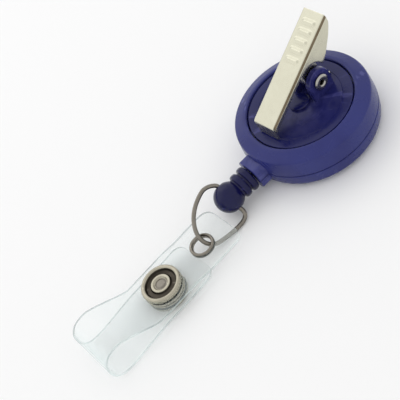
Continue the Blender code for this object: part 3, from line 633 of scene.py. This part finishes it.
def collarShape(low, high, upper):
    # half of the block round the cord's way out, with a half hole along the parting line
    half = caseLook["collarWidth"] / 2
    cut = caseLook["collarCut"]
    hole = caseLook["cordHole"]
    joint = low if upper else high
    far = high if upper else low
    turn = 1 if upper else -1
    drop = (cordLevel - joint) * turn
    reach = math.sqrt(max(hole ** 2 - drop ** 2, 0.0))
    start = math.degrees(math.atan2(-drop, reach))
    section = [(-half, joint, 0), (-half, far - turn * cut, 0.25), (-half + cut, far, 0.25),
               (half - cut, far, 0.25), (half, far - turn * cut, 0.25), (half, joint, 0)]
    section = rounded(section, 0.25, 3)
    notch = arcPoints((0, 0), hole, start, 180 - start, 16)
    section += [(y, cordLevel + turn * z) for y, z in notch]
    stations = [(-(caseRadius - 1.0 * mm), 0.0), (frontLow.x + 0.22 * mm, 0.0), (frontLow.x + 0.06 * mm, 0.07 * mm),
                (frontLow.x, 0.2 * mm)]
    middle = Vector((0, (joint + far) / 2))
    shape = bmesh.new()
    loops = []
    for x, draw in stations:
        loop = []
        for k, (y, z) in enumerate(section):
            point = Vector((y, z))
            inHole = (point - Vector((0, cordLevel))).length < hole * 1.02
            if draw and not inHole:
                away = point - middle
                point = Vector((point.x - math.copysign(min(draw, abs(away.x)), away.x),
                                point.y - (math.copysign(draw, away.y) if abs(z - joint) > 1e-6 else 0)))
            loop.append(shape.verts.new((x, point.x, point.y)))
        loops.append(loop)
    for one, two in zip(loops, loops[1:]):
        for k in range(len(section)):
            n = (k + 1) % len(section)
            shape.faces.new((one[k], one[n], two[n], two[k]))
    shape.faces.new(loops[0])
    cap = shape.faces.new(list(reversed(loops[-1])))
    bmesh.ops.triangulate(shape, faces=[cap], ngon_method="EAR_CLIP")
    return shape


def makeCase():
    seam = caseLook["seam"]
    inner = caseRadius - caseLook["wall"]
    label = caseLook["labelRadius"]
    front = rounded([
        (0, 0), (label - 0.5 * mm, 0, 0), (label, -0.01 * mm, 0.12), (label + 0.22 * mm, floorLevel, 0.16),
        (label + 1.1 * mm, floorLevel, 0.6), (label + 2.9 * mm, floorLevel + 0.2 * mm, 1.0),
        (edgeRadius - 1.1 * mm, frontEdge - 0.55 * mm, 0.6),
        (edgeRadius - 0.2 * mm, frontEdge - 0.1 * mm, 0.2),
        (edgeRadius, frontEdge + 0.2 * mm, 0.25), (caseRadius - 0.1 * mm, (frontEdge + parting) / 2, 0.8),
        (caseRadius, parting - seam - 0.12 * mm, 0.1), (caseRadius - 0.12 * mm, parting - seam, 0.05),
        (inner, parting - seam, 0), (inner, 1.1 * mm, 0), (0, 1.1 * mm)], 0.1, 5)
    frontShape = joined(turnedShape(front, 192), collarShape(cordLevel - caseLook["collarHeight"] / 2,
                                                             parting - seam, False))
    finishPiece("caseFront", frontShape, "caseBlue", "case", 38, "front_cover")
    seat = caseLook["seatRadius"]
    rim = rearHigh.z
    rear = rounded([
        (inner, parting + seam, 0), (caseRadius - 0.12 * mm, parting + seam, 0.05),
        (caseRadius, parting + seam + 0.12 * mm, 0.1),
        (caseRadius - 0.1 * mm, (backEdge + parting) / 2, 0.8), (edgeRadius, backEdge - 0.12 * mm, 0.25),
        (edgeRadius - 0.2 * mm, backEdge + 0.16 * mm, 0.2),
        (edgeRadius - 1.2 * mm, backEdge + 0.62 * mm, 0.8),
        (seat + 0.9 * mm, rim - 0.12 * mm, 0.8), (seat + 0.25 * mm, rim, 0.2),
        (seat, rim - 0.22 * mm, 0.15), (seat, baseLow.z - 0.3 * mm, 0.1),
        (1.1 * mm, baseLow.z - 0.3 * mm, 0),
        (1.1 * mm, baseLow.z - 1.3 * mm, 0), (inner, baseLow.z - 1.3 * mm, 0)], 0.1, 5)
    rearShape = joined(turnedShape(rear, 192), collarShape(parting + seam, cordLevel + caseLook["collarHeight"] / 2,
                                                           True))
    finishPiece("caseRear", rearShape, "caseBlue", "case", 38, "rear_cover")
    head = rounded([(0, seatTop + 0.9 * mm), (1.2 * mm, seatTop + 0.86 * mm, 0.5),
                    (2.2 * mm, seatTop + 0.6 * mm, 0.3), (2.4 * mm, seatTop + 0.36 * mm, 0.08),
                    (2.35 * mm, seatTop + 0.3 * mm, 0.03), (1.0 * mm, seatTop + 0.3 * mm, 0),
                    (1.0 * mm, seatTop - 3.2 * mm, 0), (0, seatTop - 3.2 * mm)], 0.05, 4)
    finishPiece("rivetHead", turnedShape(head, 96), "swivelBlue", "case", 35, "swivel_rivet")
    print("case made")


swivelLook = {
    "discRadius": 12.05 * mm, "groove": 9.6 * mm, "earRadius": 3.05 * mm, "earInside": 4.4 * mm,
    "earThickness": 1.45 * mm, "bore": 1.25 * mm, "pinRadius": 1.1 * mm, "pinHead": 1.85 * mm, "pinHole": 0.65 * mm,
    "wire": 0.5 * mm, "coilRadius": 1.75 * mm, "coils": 2, "legLength": 4.6 * mm, "turn": math.radians(4.9),
    "forward": 4.83 * mm,
}
swivelTurn = Matrix.Rotation(swivelLook["turn"], 4, "Z")
pinPlace = swivelTurn @ Matrix.Translation((swivelLook["forward"], 0, pinMiddle.z))


def makeSwivel():
    disc = swivelLook["discRadius"]
    groove = swivelLook["groove"]
    top = seatTop
    profile = rounded([(1.1 * mm, baseLow.z, 0), (disc, baseLow.z, 0.1), (disc, top, 0.22),
                       (groove + 0.16 * mm, top, 0.06), (groove + 0.1 * mm, top - 0.09 * mm, 0.04),
                       (groove, top - 0.09 * mm, 0.03), (1.1 * mm, top - 0.09 * mm, 0.1)], 0.1, 4)
    shapes = [turnedShape(profile, 160)]
    r = swivelLook["earRadius"]
    foot = top - 0.5 * mm - pinMiddle.z
    outline = [(-r, foot)] + arcPoints((0, 0), r, 180, 0, 40) + [(r, foot)]
    for side in (-1, 1):
        low, high = sorted((side * swivelLook["earInside"] / 2,
                            side * (swivelLook["earInside"] / 2 + swivelLook["earThickness"])))
        shapes.append(boredPlate(outline, swivelLook["bore"], low, high, 0.22 * mm,
                                 (swivelLook["forward"], 0, pinMiddle.z)))
    finishPiece("swivelDisc", moved(joined(*shapes), swivelTurn), "swivelBlue", "swivel", 38,
                "swivel_base")
    face = swivelLook["earInside"] / 2 + swivelLook["earThickness"] + 0.3 * mm
    big, thin, hole = swivelLook["pinHead"], swivelLook["pinRadius"], swivelLook["pinHole"]
    half = [(thin, 0), (thin, face - 0.02 * mm), (big - 0.06 * mm, face, 0.05),
            (big, face + 0.2 * mm, 0.12), (big - 0.35 * mm, face + 0.48 * mm, 0.2),
            (hole + 0.25 * mm, face + 0.48 * mm, 0.15), (hole, face + 0.25 * mm, 0.1), (hole, 0)]
    upper = rounded(half, 0.08, 4)
    profile = [(r, z) for r, z in upper] + [(r, -z) for r, z in reversed(upper[:-1])]
    finishPiece("hingePin", moved(alongY(turnedShape(profile, 72), (0, 0, 0)), pinPlace),
                "pinNickel", "swivel", 35, "clip_pin")
    makeSpring()
    print("swivel made")


def makeSpring():
    wire = swivelLook["wire"]
    coil = swivelLook["coilRadius"]
    reach = swivelLook["earInside"] / 2 - 0.45 * mm - 0.6 * mm - wire / 2
    slope = leverLook["slope"]
    start = -math.pi / 2
    stop = math.tau * swivelLook["coils"] + math.pi / 2 + slope
    count = 96
    floor = seatTop + 0.05 * mm + wire / 2 - pinMiddle.z
    leg = swivelLook["legLength"]
    points = [Vector((leg, -reach, floor)), Vector((leg * 0.8, -reach, floor)),
              Vector((leg * 0.55, -reach, floor + 0.2 * mm))]
    for k in range(count + 1):
        share = k / count
        angle = start - (stop - start) * share
        points.append(Vector((coil * math.cos(angle), -reach + 2 * reach * share, coil * math.sin(angle))))
    endX = 6.6 * mm
    under = (0.5 * mm + wire / 2) / math.cos(slope)
    end = Vector((endX, reach, leverLook["rise"] + endX * math.tan(slope) - under))
    for share in (0.35, 0.7, 1.0):
        points.append(points[count + 3].lerp(end, share))
    path = [pinPlace @ point for point in curveThrough(points, 2)]
    spring = finishPiece("torsionSpring", tubeShape(path, wire / 2, 16), "springSteel")
    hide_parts("clip_spring")
    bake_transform(spring)


leverLook = {
    "slope": math.radians(26.1), "rise": 7.7 * mm, "jaw": -14.85 * mm, "thumb": 8.4 * mm, "half": 3.3 * mm,
    "sheet": 0.45 * mm, "bend": 0.7 * mm, "grips": 5, "gripPitch": 1.9 * mm, "gripRise": 0.26 * mm,
    "gripEnd": 2.35 * mm, "gripHalf": 1.95 * mm, "lug": 2.1 * mm, "paintedBendShade": (9, 10, 11, 43, 44, 45),
    "flange": ((-14.85, 1.65), (-12.8, 1.65), (-8, 1.5), (-6.34, 1.45), (-3.6, 1.42), (-2.4, 1.5), (-1.3, 1.62),
               (-0.3, 2.15), (0.6, 2.95), (1.4, 3.8), (2.1, 4.9), (2.6, 5.95), (2.8, 6.3), (2.98, 6.42), (3.4, 6.35),
               (4.1, 6.02), (4.82, 5.61), (5.9, 4.75), (6.99, 3.85), (7.9, 2.75), (8.4, 1.9)),
}


def plateLevel(x):
    return leverLook["rise"] + x * math.tan(leverLook["slope"])


def flangeDrop(x):
    # how far a flange hangs below the plate, straight down
    table = [(a * mm, b * mm) for a, b in leverLook["flange"]]
    for (a, low), (b, high) in zip(table, table[1:]):
        if x <= b:
            return low + (high - low) * max(0.0, (x - a) / (b - a))
    return table[-1][1]


def gripLift(x, y):
    first = leverLook["thumb"] - leverLook["gripEnd"] - (leverLook["grips"] - 1) * leverLook["gripPitch"]
    lift = 0.0
    for index in range(leverLook["grips"]):
        away = abs(x - first - index * leverLook["gripPitch"]) / (0.72 * mm)
        if away < 1:
            lift = max(lift, 0.5 + 0.5 * math.cos(math.pi * away))
    side = (leverLook["gripHalf"] - abs(y)) / (0.6 * mm)
    return lift * leverLook["gripRise"] * max(0.0, min(1.0, side))


def makeLever():
    half, bend, jaw, thumb = leverLook["half"], leverLook["bend"], leverLook["jaw"], leverLook["thumb"]
    stations = [jaw + 0.45 * mm + (thumb - jaw - 0.45 * mm) * k / 150 for k in range(151)]
    flat = [(-1 + 2 * k / 26) * (half - bend) for k in range(27)]
    shape = bmesh.new()
    grid = []
    for x in stations:
        top = plateLevel(x)
        drop = max(flangeDrop(x), bend * 1.35)
        side = [(-half, top - drop + (drop - bend * 1.1) * k / 8) for k in range(8)]
        for k in range(7):
            angle = math.pi - math.pi / 2 * k / 6
            side.append((-half + bend + bend * math.cos(angle), top - bend * 1.1 + bend * 1.1 * math.sin(angle)))
        column = side + [(y, top) for y in flat[1:-1]] + [(-y, z) for y, z in reversed(side)]
        lean = Vector((-math.sin(leverLook["slope"]), 0, math.cos(leverLook["slope"])))
        row = []
        for y, z in column:
            lift = gripLift(x, y) if z > top - 1e-9 else 0.0
            row.append(shape.verts.new(Vector((x, y, z)) + lean * lift))
        grid.append(row)
    for one, two in zip(grid, grid[1:]):
        for k in range(len(one) - 1):
            face = shape.faces.new((one[k], one[k + 1], two[k + 1], two[k]))
            # the faces round the side bends take the painted dark reflection band
            face.material_index = 1 if k in leverLook["paintedBendShade"] else 0
    # the jaw: the plate's end turned down, with small teeth
    foot = leverLow.z - pinMiddle.z
    across = list(range(12, 12 + 31))
    row = [grid[0][k] for k in across]
    x0 = stations[0]
    topStart = plateLevel(x0)
    turnTo = Vector((jaw, 0, plateLevel(jaw) - 0.35 * mm))
    path = [(x0 * (1 - t) ** 2 + 2 * t * (1 - t) * (jaw + 0.02 * mm) + turnTo.x * t ** 2,
             topStart * (1 - t) ** 2 + 2 * t * (1 - t) * plateLevel(jaw) + turnTo.z * t ** 2)
            for t in (0.25, 0.5, 0.75, 1.0)]
    wall = turnTo.z - foot
    path += [(jaw, turnTo.z - wall * share) for share in (0.3, 0.6, 0.8, 1.0)]
    for index, (x, z) in enumerate(path):
        following = []
        for order, vert in enumerate(row):
            y = grid[0][across[order]].co.y
            sink = topStart - grid[0][across[order]].co.z
            lift = 0.16 * mm * (order % 4 < 2) if index == len(path) - 1 else 0.0
            following.append(shape.verts.new((x, y, z - sink * max(0.0, 1 - index / 5) + lift)))
        for k in range(len(row) - 1):
            shape.faces.new((row[k], row[k + 1], following[k + 1], following[k]))
        row = following
    moved(shape, pinPlace)
    lever = finishPiece("clipLever", shape, ["clipNickel", "bendNickel"], None, 50)
    thick = lever.modifiers.new("thickness", "SOLIDIFY")
    thick.thickness = leverLook["sheet"]
    thick.offset = -1.0
    thick.use_even_offset = False
    eased = lever.modifiers.new("eased", "BEVEL")
    eased.width = 0.07 * mm
    eased.segments = 2
    eased.limit_method = "ANGLE"
    eased.angle_limit = math.radians(55)
    bakeModifiers(lever, 50)
    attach(lever, "lever")
    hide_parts("clip_lever")
    inner = swivelLook["earInside"] / 2 - 0.3 * mm
    shapes = []
    lug = leverLook["lug"]
    outline = [(x, plateLevel(x) - 0.45 * mm) for x in (2.2 * mm, -2.2 * mm)] + arcPoints((0, 0), lug, 180, 360, 32)
    for side in (-1, 1):
        low, high = sorted((side * (inner - leverLook["sheet"]), side * inner))
        shapes.append(boredPlate(outline, 1.2 * mm, low, high, 0.05 * mm, (0, 0, 0)))
    finishPiece("leverLugs", moved(joined(*shapes), pinPlace), "clipNickel", "lever", 35)
    print("lever made")


stopperLook = {
    "start": 18.3 * mm, "ribs": (3.05 * mm, 2.95 * mm), "pitch": 2.05 * mm, "root": 2.45 * mm,
    "ball": 3.45 * mm, "ballReach": 24.9 * mm, "hole": 1.05 * mm, "roll": math.radians(42), "bore": 0.75 * mm,
    "chamber": 1.5 * mm,
}
ballMiddle = Vector((-stopperLook["ballReach"], 0, cordLevel))


def makeStopper():
    start, root, pitch = stopperLook["start"], stopperLook["root"], stopperLook["pitch"]
    ball, reach = stopperLook["ball"], stopperLook["ballReach"]
    profile = []
    knot = -knotMiddle.x
    chamber, bore = stopperLook["chamber"], stopperLook["bore"]
    profile += [(0, knot + chamber)]
    for k in range(1, 12):
        angle = math.radians(k * 13.7)
        if chamber * math.sin(angle) < bore and k > 6:
            break
        profile.append((chamber * math.sin(angle), knot + chamber * math.cos(angle)))
    profile.append((bore, start + 0.1 * mm))
    profile.append((bore + 0.1 * mm, start))
    profile.append((root - 0.2 * mm, start))
    for index, radius in enumerate(stopperLook["ribs"]):
        foot = start + index * pitch
        width = pitch * 0.8
        for k in range(17):
            u = -1 + 2 * k / 16
            lift = (1 - abs(u) ** 3.2) ** 0.55 if abs(u) < 1 else 0.0
            profile.append((root + (radius - root) * lift, foot + 0.04 * mm + width * (u + 1) / 2))
        profile.append((root - 0.06 * mm, foot + (width + pitch) / 2))
    first = math.asin(min(1.0, root * 0.97 / ball))
    for k in range(33):
        angle = first + (math.pi - first) * k / 32
        profile.append((max(0.0, ball * math.sin(angle)) if k < 32 else 0.0, reach - ball * math.cos(angle)))
    stopper = finishPiece("stopperBall", alongMinusX(turnedShape(profile, 96), (0, 0, cordLevel)),
                          "stopperNavy")
    direction = Matrix.Rotation(stopperLook["roll"], 4, "X")
    rod = [(0, -8 * mm), (stopperLook["hole"], -8 * mm), (stopperLook["hole"], 8 * mm), (0, 8 * mm)]
    cutter = moved(turnedShape(rod, 48), Matrix.Translation(ballMiddle) @ direction
                   @ Matrix.Rotation(-math.pi / 2, 4, "X"))
    cutAway(stopper, cutter)
    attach(stopper, "stopper")
    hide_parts("cord_stopper")
    print("stopper made")


ringLook = {
    "wire": 0.98 * mm, "length": 11.3 * mm, "aside": 3.1 * mm, "sag": 0.1 * mm,
    "outline": ((0, 0), (-0.077, 2.87), (-0.055, 4.1), (0.05, 5.3), (0.19, 5.8), (0.45, 5.6), (0.68, 4.75),
                (0.87, 3.25), (0.97, 1.6), (1, 0), (0.962, -1.5), (0.88, -2.45), (0.76, -3.2), (0.56, -4.2),
                (0.4, -4.8), (0.26, -5.1), (0.15, -4.8), (0.095, -3.9), (0.077, -2.87)),
}


def makeRing():
    length = ringLook["length"]
    drop = ballMiddle.z - eyeletMiddle.z + ringLook["sag"]
    end = Vector((-math.sqrt(length ** 2 - ringLook["aside"] ** 2 - drop ** 2), -ringLook["aside"], -drop))
    hole = Vector((0, math.cos(stopperLook["roll"]), math.sin(stopperLook["roll"])))
    along = end.normalized()
    across = (hole - along * hole.dot(along)).normalized()
    places = [ballMiddle + along * (share * length) + across * (aside * mm) for share, aside in ringLook["outline"]]
    path = curveThrough(places, 10, closed=True)
    finishPiece("linkRing", tubeShape(path, ringLook["wire"] / 2, 24, closed=True), "ringNickel",
                "ring", 60, "link_ring")
    print("ring made")


def makePullCord():
    # the end of the cord, a straight tube running out of the case to the stopper
    pullLow, pullHigh = reachOf("pull_cord")
    radius = 0.4 * mm
    count = 24
    path = [Vector((pullHigh.x + (pullLow.x - pullHigh.x) * k / count, 0, cordLevel)) for k in range(count + 1)]
    cord = finishPiece("pullCord", tubeShape(path, radius, 16), "blackCord")
    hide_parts("pull_cord")
    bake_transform(cord)
    print("cord made")


strapLook = {
    "width": 13.0 * mm, "film": 0.45 * mm, "yaw": math.radians(2.2), "endToEyelet": 7.2 * mm,
    "eyeletToSnap": 12.1 * mm, "snapToFold": 20.6 * mm, "snapToShortEnd": 9.6 * mm, "cornerCut": 2.6 * mm,
    "foldHeight": 8.6 * mm, "eyeletRadius": 2.9 * mm, "eyeletHole": 2.15 * mm, "snapRadius": 4.7 * mm,
    "snapLevel": 3.3 * mm, "eyeletLevel": 2.9 * mm, "shortLevel": 1.3 * mm,
}
strapPlace = Matrix.Translation(eyeletMiddle) @ Matrix.Rotation(strapLook["yaw"], 4, "Z")


def makeStrap():
    s = strapLook
    upper = s["snapLevel"] - s["eyeletLevel"]
    lower = s["shortLevel"] - s["eyeletLevel"]
    snap = -s["eyeletToSnap"]
    nose = snap - s["snapToFold"]
    base = -s["eyeletLevel"] + s["film"] / 2 + 0.05 * mm
    high = base + s["foldHeight"] - s["film"]
    middle = base + s["foldHeight"] * 0.45
    eyeletFlat = s["eyeletRadius"] + 1.2 * mm
    flat = s["snapRadius"] + 1.3 * mm
    route = [(s["endToEyelet"], -0.1 * mm), (eyeletFlat, 0), (-eyeletFlat, 0), (snap + flat, upper),
             (snap - flat, upper), (nose + 7.6 * mm, high - 1.1 * mm), (nose + 5 * mm, high + 0.1 * mm),
             (nose + 1.8 * mm, high - 0.4 * mm), (nose, middle + 1.7 * mm), (nose, middle), (nose, base + 1.9 * mm),
             (nose + 1.8 * mm, base + 0.3 * mm), (nose + 5 * mm, base + 0.1 * mm), (snap - flat, lower),
             (snap + flat, lower), (snap + s["snapToShortEnd"], lower + 0.3 * mm)]
    dense = easedPath([(x, 0, z) for x, z in route], 0.15 * mm, 0.8 * mm)
    runs = [0.0]
    for one, two in zip(dense, dense[1:]):
        runs.append(runs[-1] + (two - one).length)
    total = runs[-1]
    cut = s["cornerCut"]
    targets = [total * k / 260 for k in range(261)]
    targets += [cut * k / 8 for k in range(9)] + [total - cut * k / 8 for k in range(9)]
    targets = sorted(set(round(t, 7) for t in targets))
    shape = bmesh.new()
    foldShape = bmesh.new()
    crest = next(k for k, point in enumerate(dense) if point.x < nose + 5 * mm)
    rings = []
    foldRings = []
    columns = 14
    position = 0
    for target in targets:
        while position < len(runs) - 2 and runs[position + 1] < target:
            position += 1
        t = (target - runs[position]) / max(runs[position + 1] - runs[position], 1e-9)
        point = dense[position].lerp(dense[position + 1], min(max(t, 0), 1))
        along = (dense[min(position + 2, len(dense) - 1)] - dense[max(position - 1, 0)]).normalized()
        normal = Vector((-along.z, 0, along.x))
        near = min(target, total - target)
        inset = 0.0
        if near < cut:
            share = 1 - near / cut
            inset = cut * (1 - math.sqrt(max(0.0, 1 - share ** 2))) * 0.9
        half = s["width"] / 2 - inset
        thick = s["film"] / 2
        edge = 0.1 * mm
        loop = []
        for side in (1, -1):
            for k in range(columns + 1):
                y = half - edge - (2 * half - 2 * edge) * k / columns if side > 0 else \
                    -half + edge + (2 * half - 2 * edge) * k / columns
                loop.append(point + Vector((0, y, 0)) + normal * thick * side)
            loop.append(point + Vector((0, -half * side, 0)) + normal * thick * 0.55 * side)
            loop.append(point + Vector((0, -half * side, 0)) - normal * thick * 0.55 * side)
        # the two lengths of film meet edge to edge at the crest of the fold
        if position < crest:
            rings.append([shape.verts.new(v) for v in loop])
            seam = loop
        else:
            if not foldRings:
                foldRings.append([foldShape.verts.new(v) for v in seam])
            foldRings.append([foldShape.verts.new(v) for v in loop])
    count = len(rings[0])
    edges = (columns, columns + 1, columns + 2, count - 3, count - 2, count - 1)
    for strip, loops, end in ((shape, rings, rings[0]), (foldShape, foldRings, list(reversed(foldRings[-1])))):
        for one, two in zip(loops, loops[1:]):
            for k in range(count):
                n = (k + 1) % count
                strip.faces.new((one[k], one[n], two[n], two[k])).material_index = 1 if k in edges else 0
        strip.faces.new(end).material_index = 1
        moved(strip, strapPlace)
    film = ["clearFilm", "filmEdge"]
    strap = finishPiece("strapFilm", shape, film, "strap", 50, "strap_long")
    fold = finishPiece("strapFold", foldShape, film, sharp=50)
    for piece, x, z, size in ((strap, 0, 0, s["eyeletHole"] + 0.35 * mm), (strap, snap, upper, 1.7 * mm),
                              (fold, snap, lower, 1.7 * mm)):
        rod = [(0, -0.9 * mm), (size, -0.9 * mm), (size, 0.9 * mm), (0, 0.9 * mm)]
        cutAway(piece, moved(turnedShape(rod, 64), strapPlace @ Matrix.Translation((x, 0, z))))
    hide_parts("strap_short")
    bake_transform(fold)
    face = s["film"] / 2
    barrel = s["eyeletHole"]
    for name, node, turn in (("eyeletFront", "eyelet_front", 1), ("eyeletBack", "eyelet_back", -1)):
        profile = rounded([(barrel, 0.02 * mm, 0), (barrel + 0.25 * mm, 0.02 * mm, 0), (barrel + 0.25 * mm, face, 0),
                           (s["eyeletRadius"], face, 0.03), (s["eyeletRadius"], face + 0.2 * mm, 0.12),
                           (s["eyeletRadius"] - 0.28 * mm, face + 0.4 * mm, 0.15),
                           (barrel + 0.2 * mm, face + 0.38 * mm, 0.2), (barrel, face + 0.1 * mm, 0.12)],
                          0.05, 4)
        shape = turnedShape([(r, z * turn) for r, z in profile], 96)
        finishPiece(name, moved(shape, strapPlace), "ringNickel", "strap", 35, node)
    makeSnap(snap, upper, lower, face)
    print("strap made")


def makeSnap(snap, upper, lower, face):
    rim = strapLook["snapRadius"]
    face += 0.06 * mm
    tall = 1.2 * mm
    cap = rounded([(0, face + 0.86 * mm), (rim * 0.2, face + 0.84 * mm, 0.1),
                   (rim * 0.27, face + 0.66 * mm, 0.1),
                   (rim * 0.31, face + 0.66 * mm, 0.05), (rim * 0.36, face + 0.98 * mm, 0.12),
                   (rim * 0.47, face + 1.0 * mm, 0.12), (rim * 0.53, face + 0.42 * mm, 0.15),
                   (rim * 0.72, face + 0.32 * mm, 0.15), (rim * 0.8, face + tall * 0.92, 0.2),
                   (rim * 0.89, face + tall + 0.02 * mm, 0.2), (rim * 0.985, face + tall * 0.8, 0.25),
                   (rim, face + 0.25 * mm, 0.2), (rim * 0.97, face, 0.05), (0, face)], 0.08, 4)
    place = strapPlace @ Matrix.Translation((snap, 0, upper))
    shape = turnedShape(cap, 120)
    for part in shape.faces:
        away = Vector(part.calc_center_median()[:2]).length / rim
        # the groove ring takes the painted shade; the middle takes the darker nickel
        part.material_index = 2 if away < 0.3 else 1 if 0.495 < away < 0.77 else 0
    finishPiece("snapCap", moved(shape, place), ["snapBrass", "snapGroove", "ringNickel"],
                "strap", 35, "snap_cap")
    gap = (strapLook["snapLevel"] - strapLook["shortLevel"]) - 2 * face
    deep = gap - 0.42 * mm
    mouth = rim * 0.46
    socket = rounded([(0, -face), (rim * 0.97, -face, 0.08), (rim, -face - 0.2 * mm, 0.12),
                      (rim * 0.97, -face - deep * 0.6, 0.1), (rim * 0.93, -face - deep, 0.15),
                      (mouth, -face - deep, 0.1), (mouth, -face - 0.25 * mm, 0.05), (0, -face - 0.25 * mm)],
                     0.06, 4)
    finishPiece("snapSocket", moved(turnedShape(socket, 120), place), "snapBrass", "strap",
                35, "snap_socket")
    place = strapPlace @ Matrix.Translation((snap, 0, lower))
    stud = rounded([(0, face), (rim * 0.95, face, 0.06), (rim * 0.95, face + 0.3 * mm, 0.12),
                    (mouth - 0.35 * mm, face + 0.34 * mm, 0.1), (mouth - 0.25 * mm, face + 0.7 * mm, 0.15),
                    (mouth - 0.6 * mm, face + gap - 0.3 * mm, 0.25), (0, face + gap - 0.3 * mm)], 0.06, 4)
    finishPiece("snapStud", moved(turnedShape(stud, 120), place), "snapBrass", "flap", 35,
                "snap_stud")
    depth = strapLook["shortLevel"] - face - 0.02 * mm
    post = rounded([(0, -face - depth * 0.72), (rim * 0.16, -face - depth * 0.72, 0.1),
                    (rim * 0.22, -face - depth * 0.95, 0.1), (rim * 0.36, -face - depth * 0.95, 0.1),
                    (rim * 0.42, -face - depth * 0.7, 0.1), (rim * 0.56, -face - depth * 0.7, 0.1),
                    (rim * 0.64, -face - depth * 0.98, 0.12), (rim * 0.86, -face - depth * 0.96, 0.2),
                    (rim, -face - depth * 0.4, 0.2), (rim * 0.98, -face, 0.05), (0, -face)], 0.08, 4)
    finishPiece("snapPost", moved(turnedShape(post, 120), place), "snapBrass", "flap", 35,
                "snap_post")


makeCase()
makeSwivel()
makeLever()
makeStopper()
makeRing()
makePullCord()
makeStrap()

# Inner pieces stay as packed and are only painted
keptFinishes = {
    "arbor_post": "springSteel", "power_spring": "springSteel", "cord_lead": "blackCord",
    "swivel_washer": "springSteel", "spool": "drumWhite", "wound_cord": "blackCord", "cord_knot": "blackCord",
}
for node, finish in keptFinishes.items():
    nodes[node].data.materials.clear()
    nodes[node].data.materials.append(finishes[finish])
print("kept nodes painted:", len(keptFinishes))


stageLook = {
    "floor": (0.9, 0.9, 0.9), "size": 3.0, "world": 0.96,
    "lamps": (("key", (-0.32, 0.36, 0.3), (0.8, 0.8), 0.5), ("over", (0.08, 0.42, 0.46), (0.5, 0.4), 0.25)),
}


def makeStage():
    material, tree, shader = newMaterial("paleFloor")
    where = objectSpace(tree)
    grain = noiseNode(tree, where, 900.0, 3.0, 0.5)
    tree.links.new(rangeNode(tree, grain, 0.3, 0.7, 0.82, 0.9), shader.inputs["Roughness"])
    shader.inputs["Base Color"].default_value = (*stageLook["floor"], 1)
    shape = bmesh.new()
    half = stageLook["size"] / 2
    corners = [shape.verts.new((x, y, floorLevel - 0.1 * mm)) for x, y in ((-half, -half), (half, -half), (half, half),
                                                                        (-half, half))]
    shape.faces.new(corners)
    floor = finishPiece("floor", shape, material)
    world = bpy.data.worlds.new("studio")
    bpy.context.scene.world = world
    world.use_nodes = True
    world.node_tree.nodes["Background"].inputs["Color"].default_value = (1.0, 1.0, 1.0, 1)
    world.node_tree.nodes["Background"].inputs["Strength"].default_value = stageLook["world"]


def addLight(name, place, target, size, power):
    light = bpy.data.lights.new(name, "AREA")
    light.shape = "RECTANGLE"
    light.size, light.size_y = size
    light.energy = power
    lamp = bpy.data.objects.new(name, light)
    lamp.location = place
    lamp.rotation_euler = (Vector(place) - Vector(target)).to_track_quat("Z", "Y").to_euler()
    bpy.context.scene.collection.objects.link(lamp)


cameraLook = {
    "turn": math.radians(-10.67), "height": math.radians(46.3), "roll": math.radians(-37.32), "focal": 1052.14,
    "distance": 0.22786, "target": Vector((0, 0, 8.26 * mm)), "shown": (301.12, 105.3), "frame": 400.0,
}


def makeCamera():
    look = cameraLook
    a, e, r = look["turn"], look["height"], look["roll"]
    back = Vector((math.sin(a) * math.cos(e), -math.cos(a) * math.cos(e), math.sin(e)))
    level = Vector((math.cos(a), math.sin(a), 0))
    up = back.cross(level)
    right = level * math.cos(r) + up * math.sin(r)
    over = up * math.cos(r) - level * math.sin(r)
    half = look["frame"] / 2
    x = (look["shown"][0] - half) / look["focal"] * look["distance"]
    y = (half - look["shown"][1]) / look["focal"] * look["distance"]
    place = look["target"] - right * x - over * y + back * look["distance"]
    data = bpy.data.cameras.new("camera")
    data.sensor_width = 36.0
    data.lens = look["focal"] / look["frame"] * 36.0
    data.clip_start = 0.01
    camera = bpy.data.objects.new("camera", data)
    turn = Matrix((right, over, back)).transposed().to_4x4()
    camera.matrix_world = Matrix.Translation(place) @ turn
    bpy.context.scene.collection.objects.link(camera)
    bpy.context.scene.camera = camera


makeStage()
for name, place, size, power in stageLook["lamps"]:
    addLight(name, place, (-0.02, 0, 0), size, power)
makeCamera()
bpy.context.scene.view_settings.view_transform = "Standard"
print("stage made")
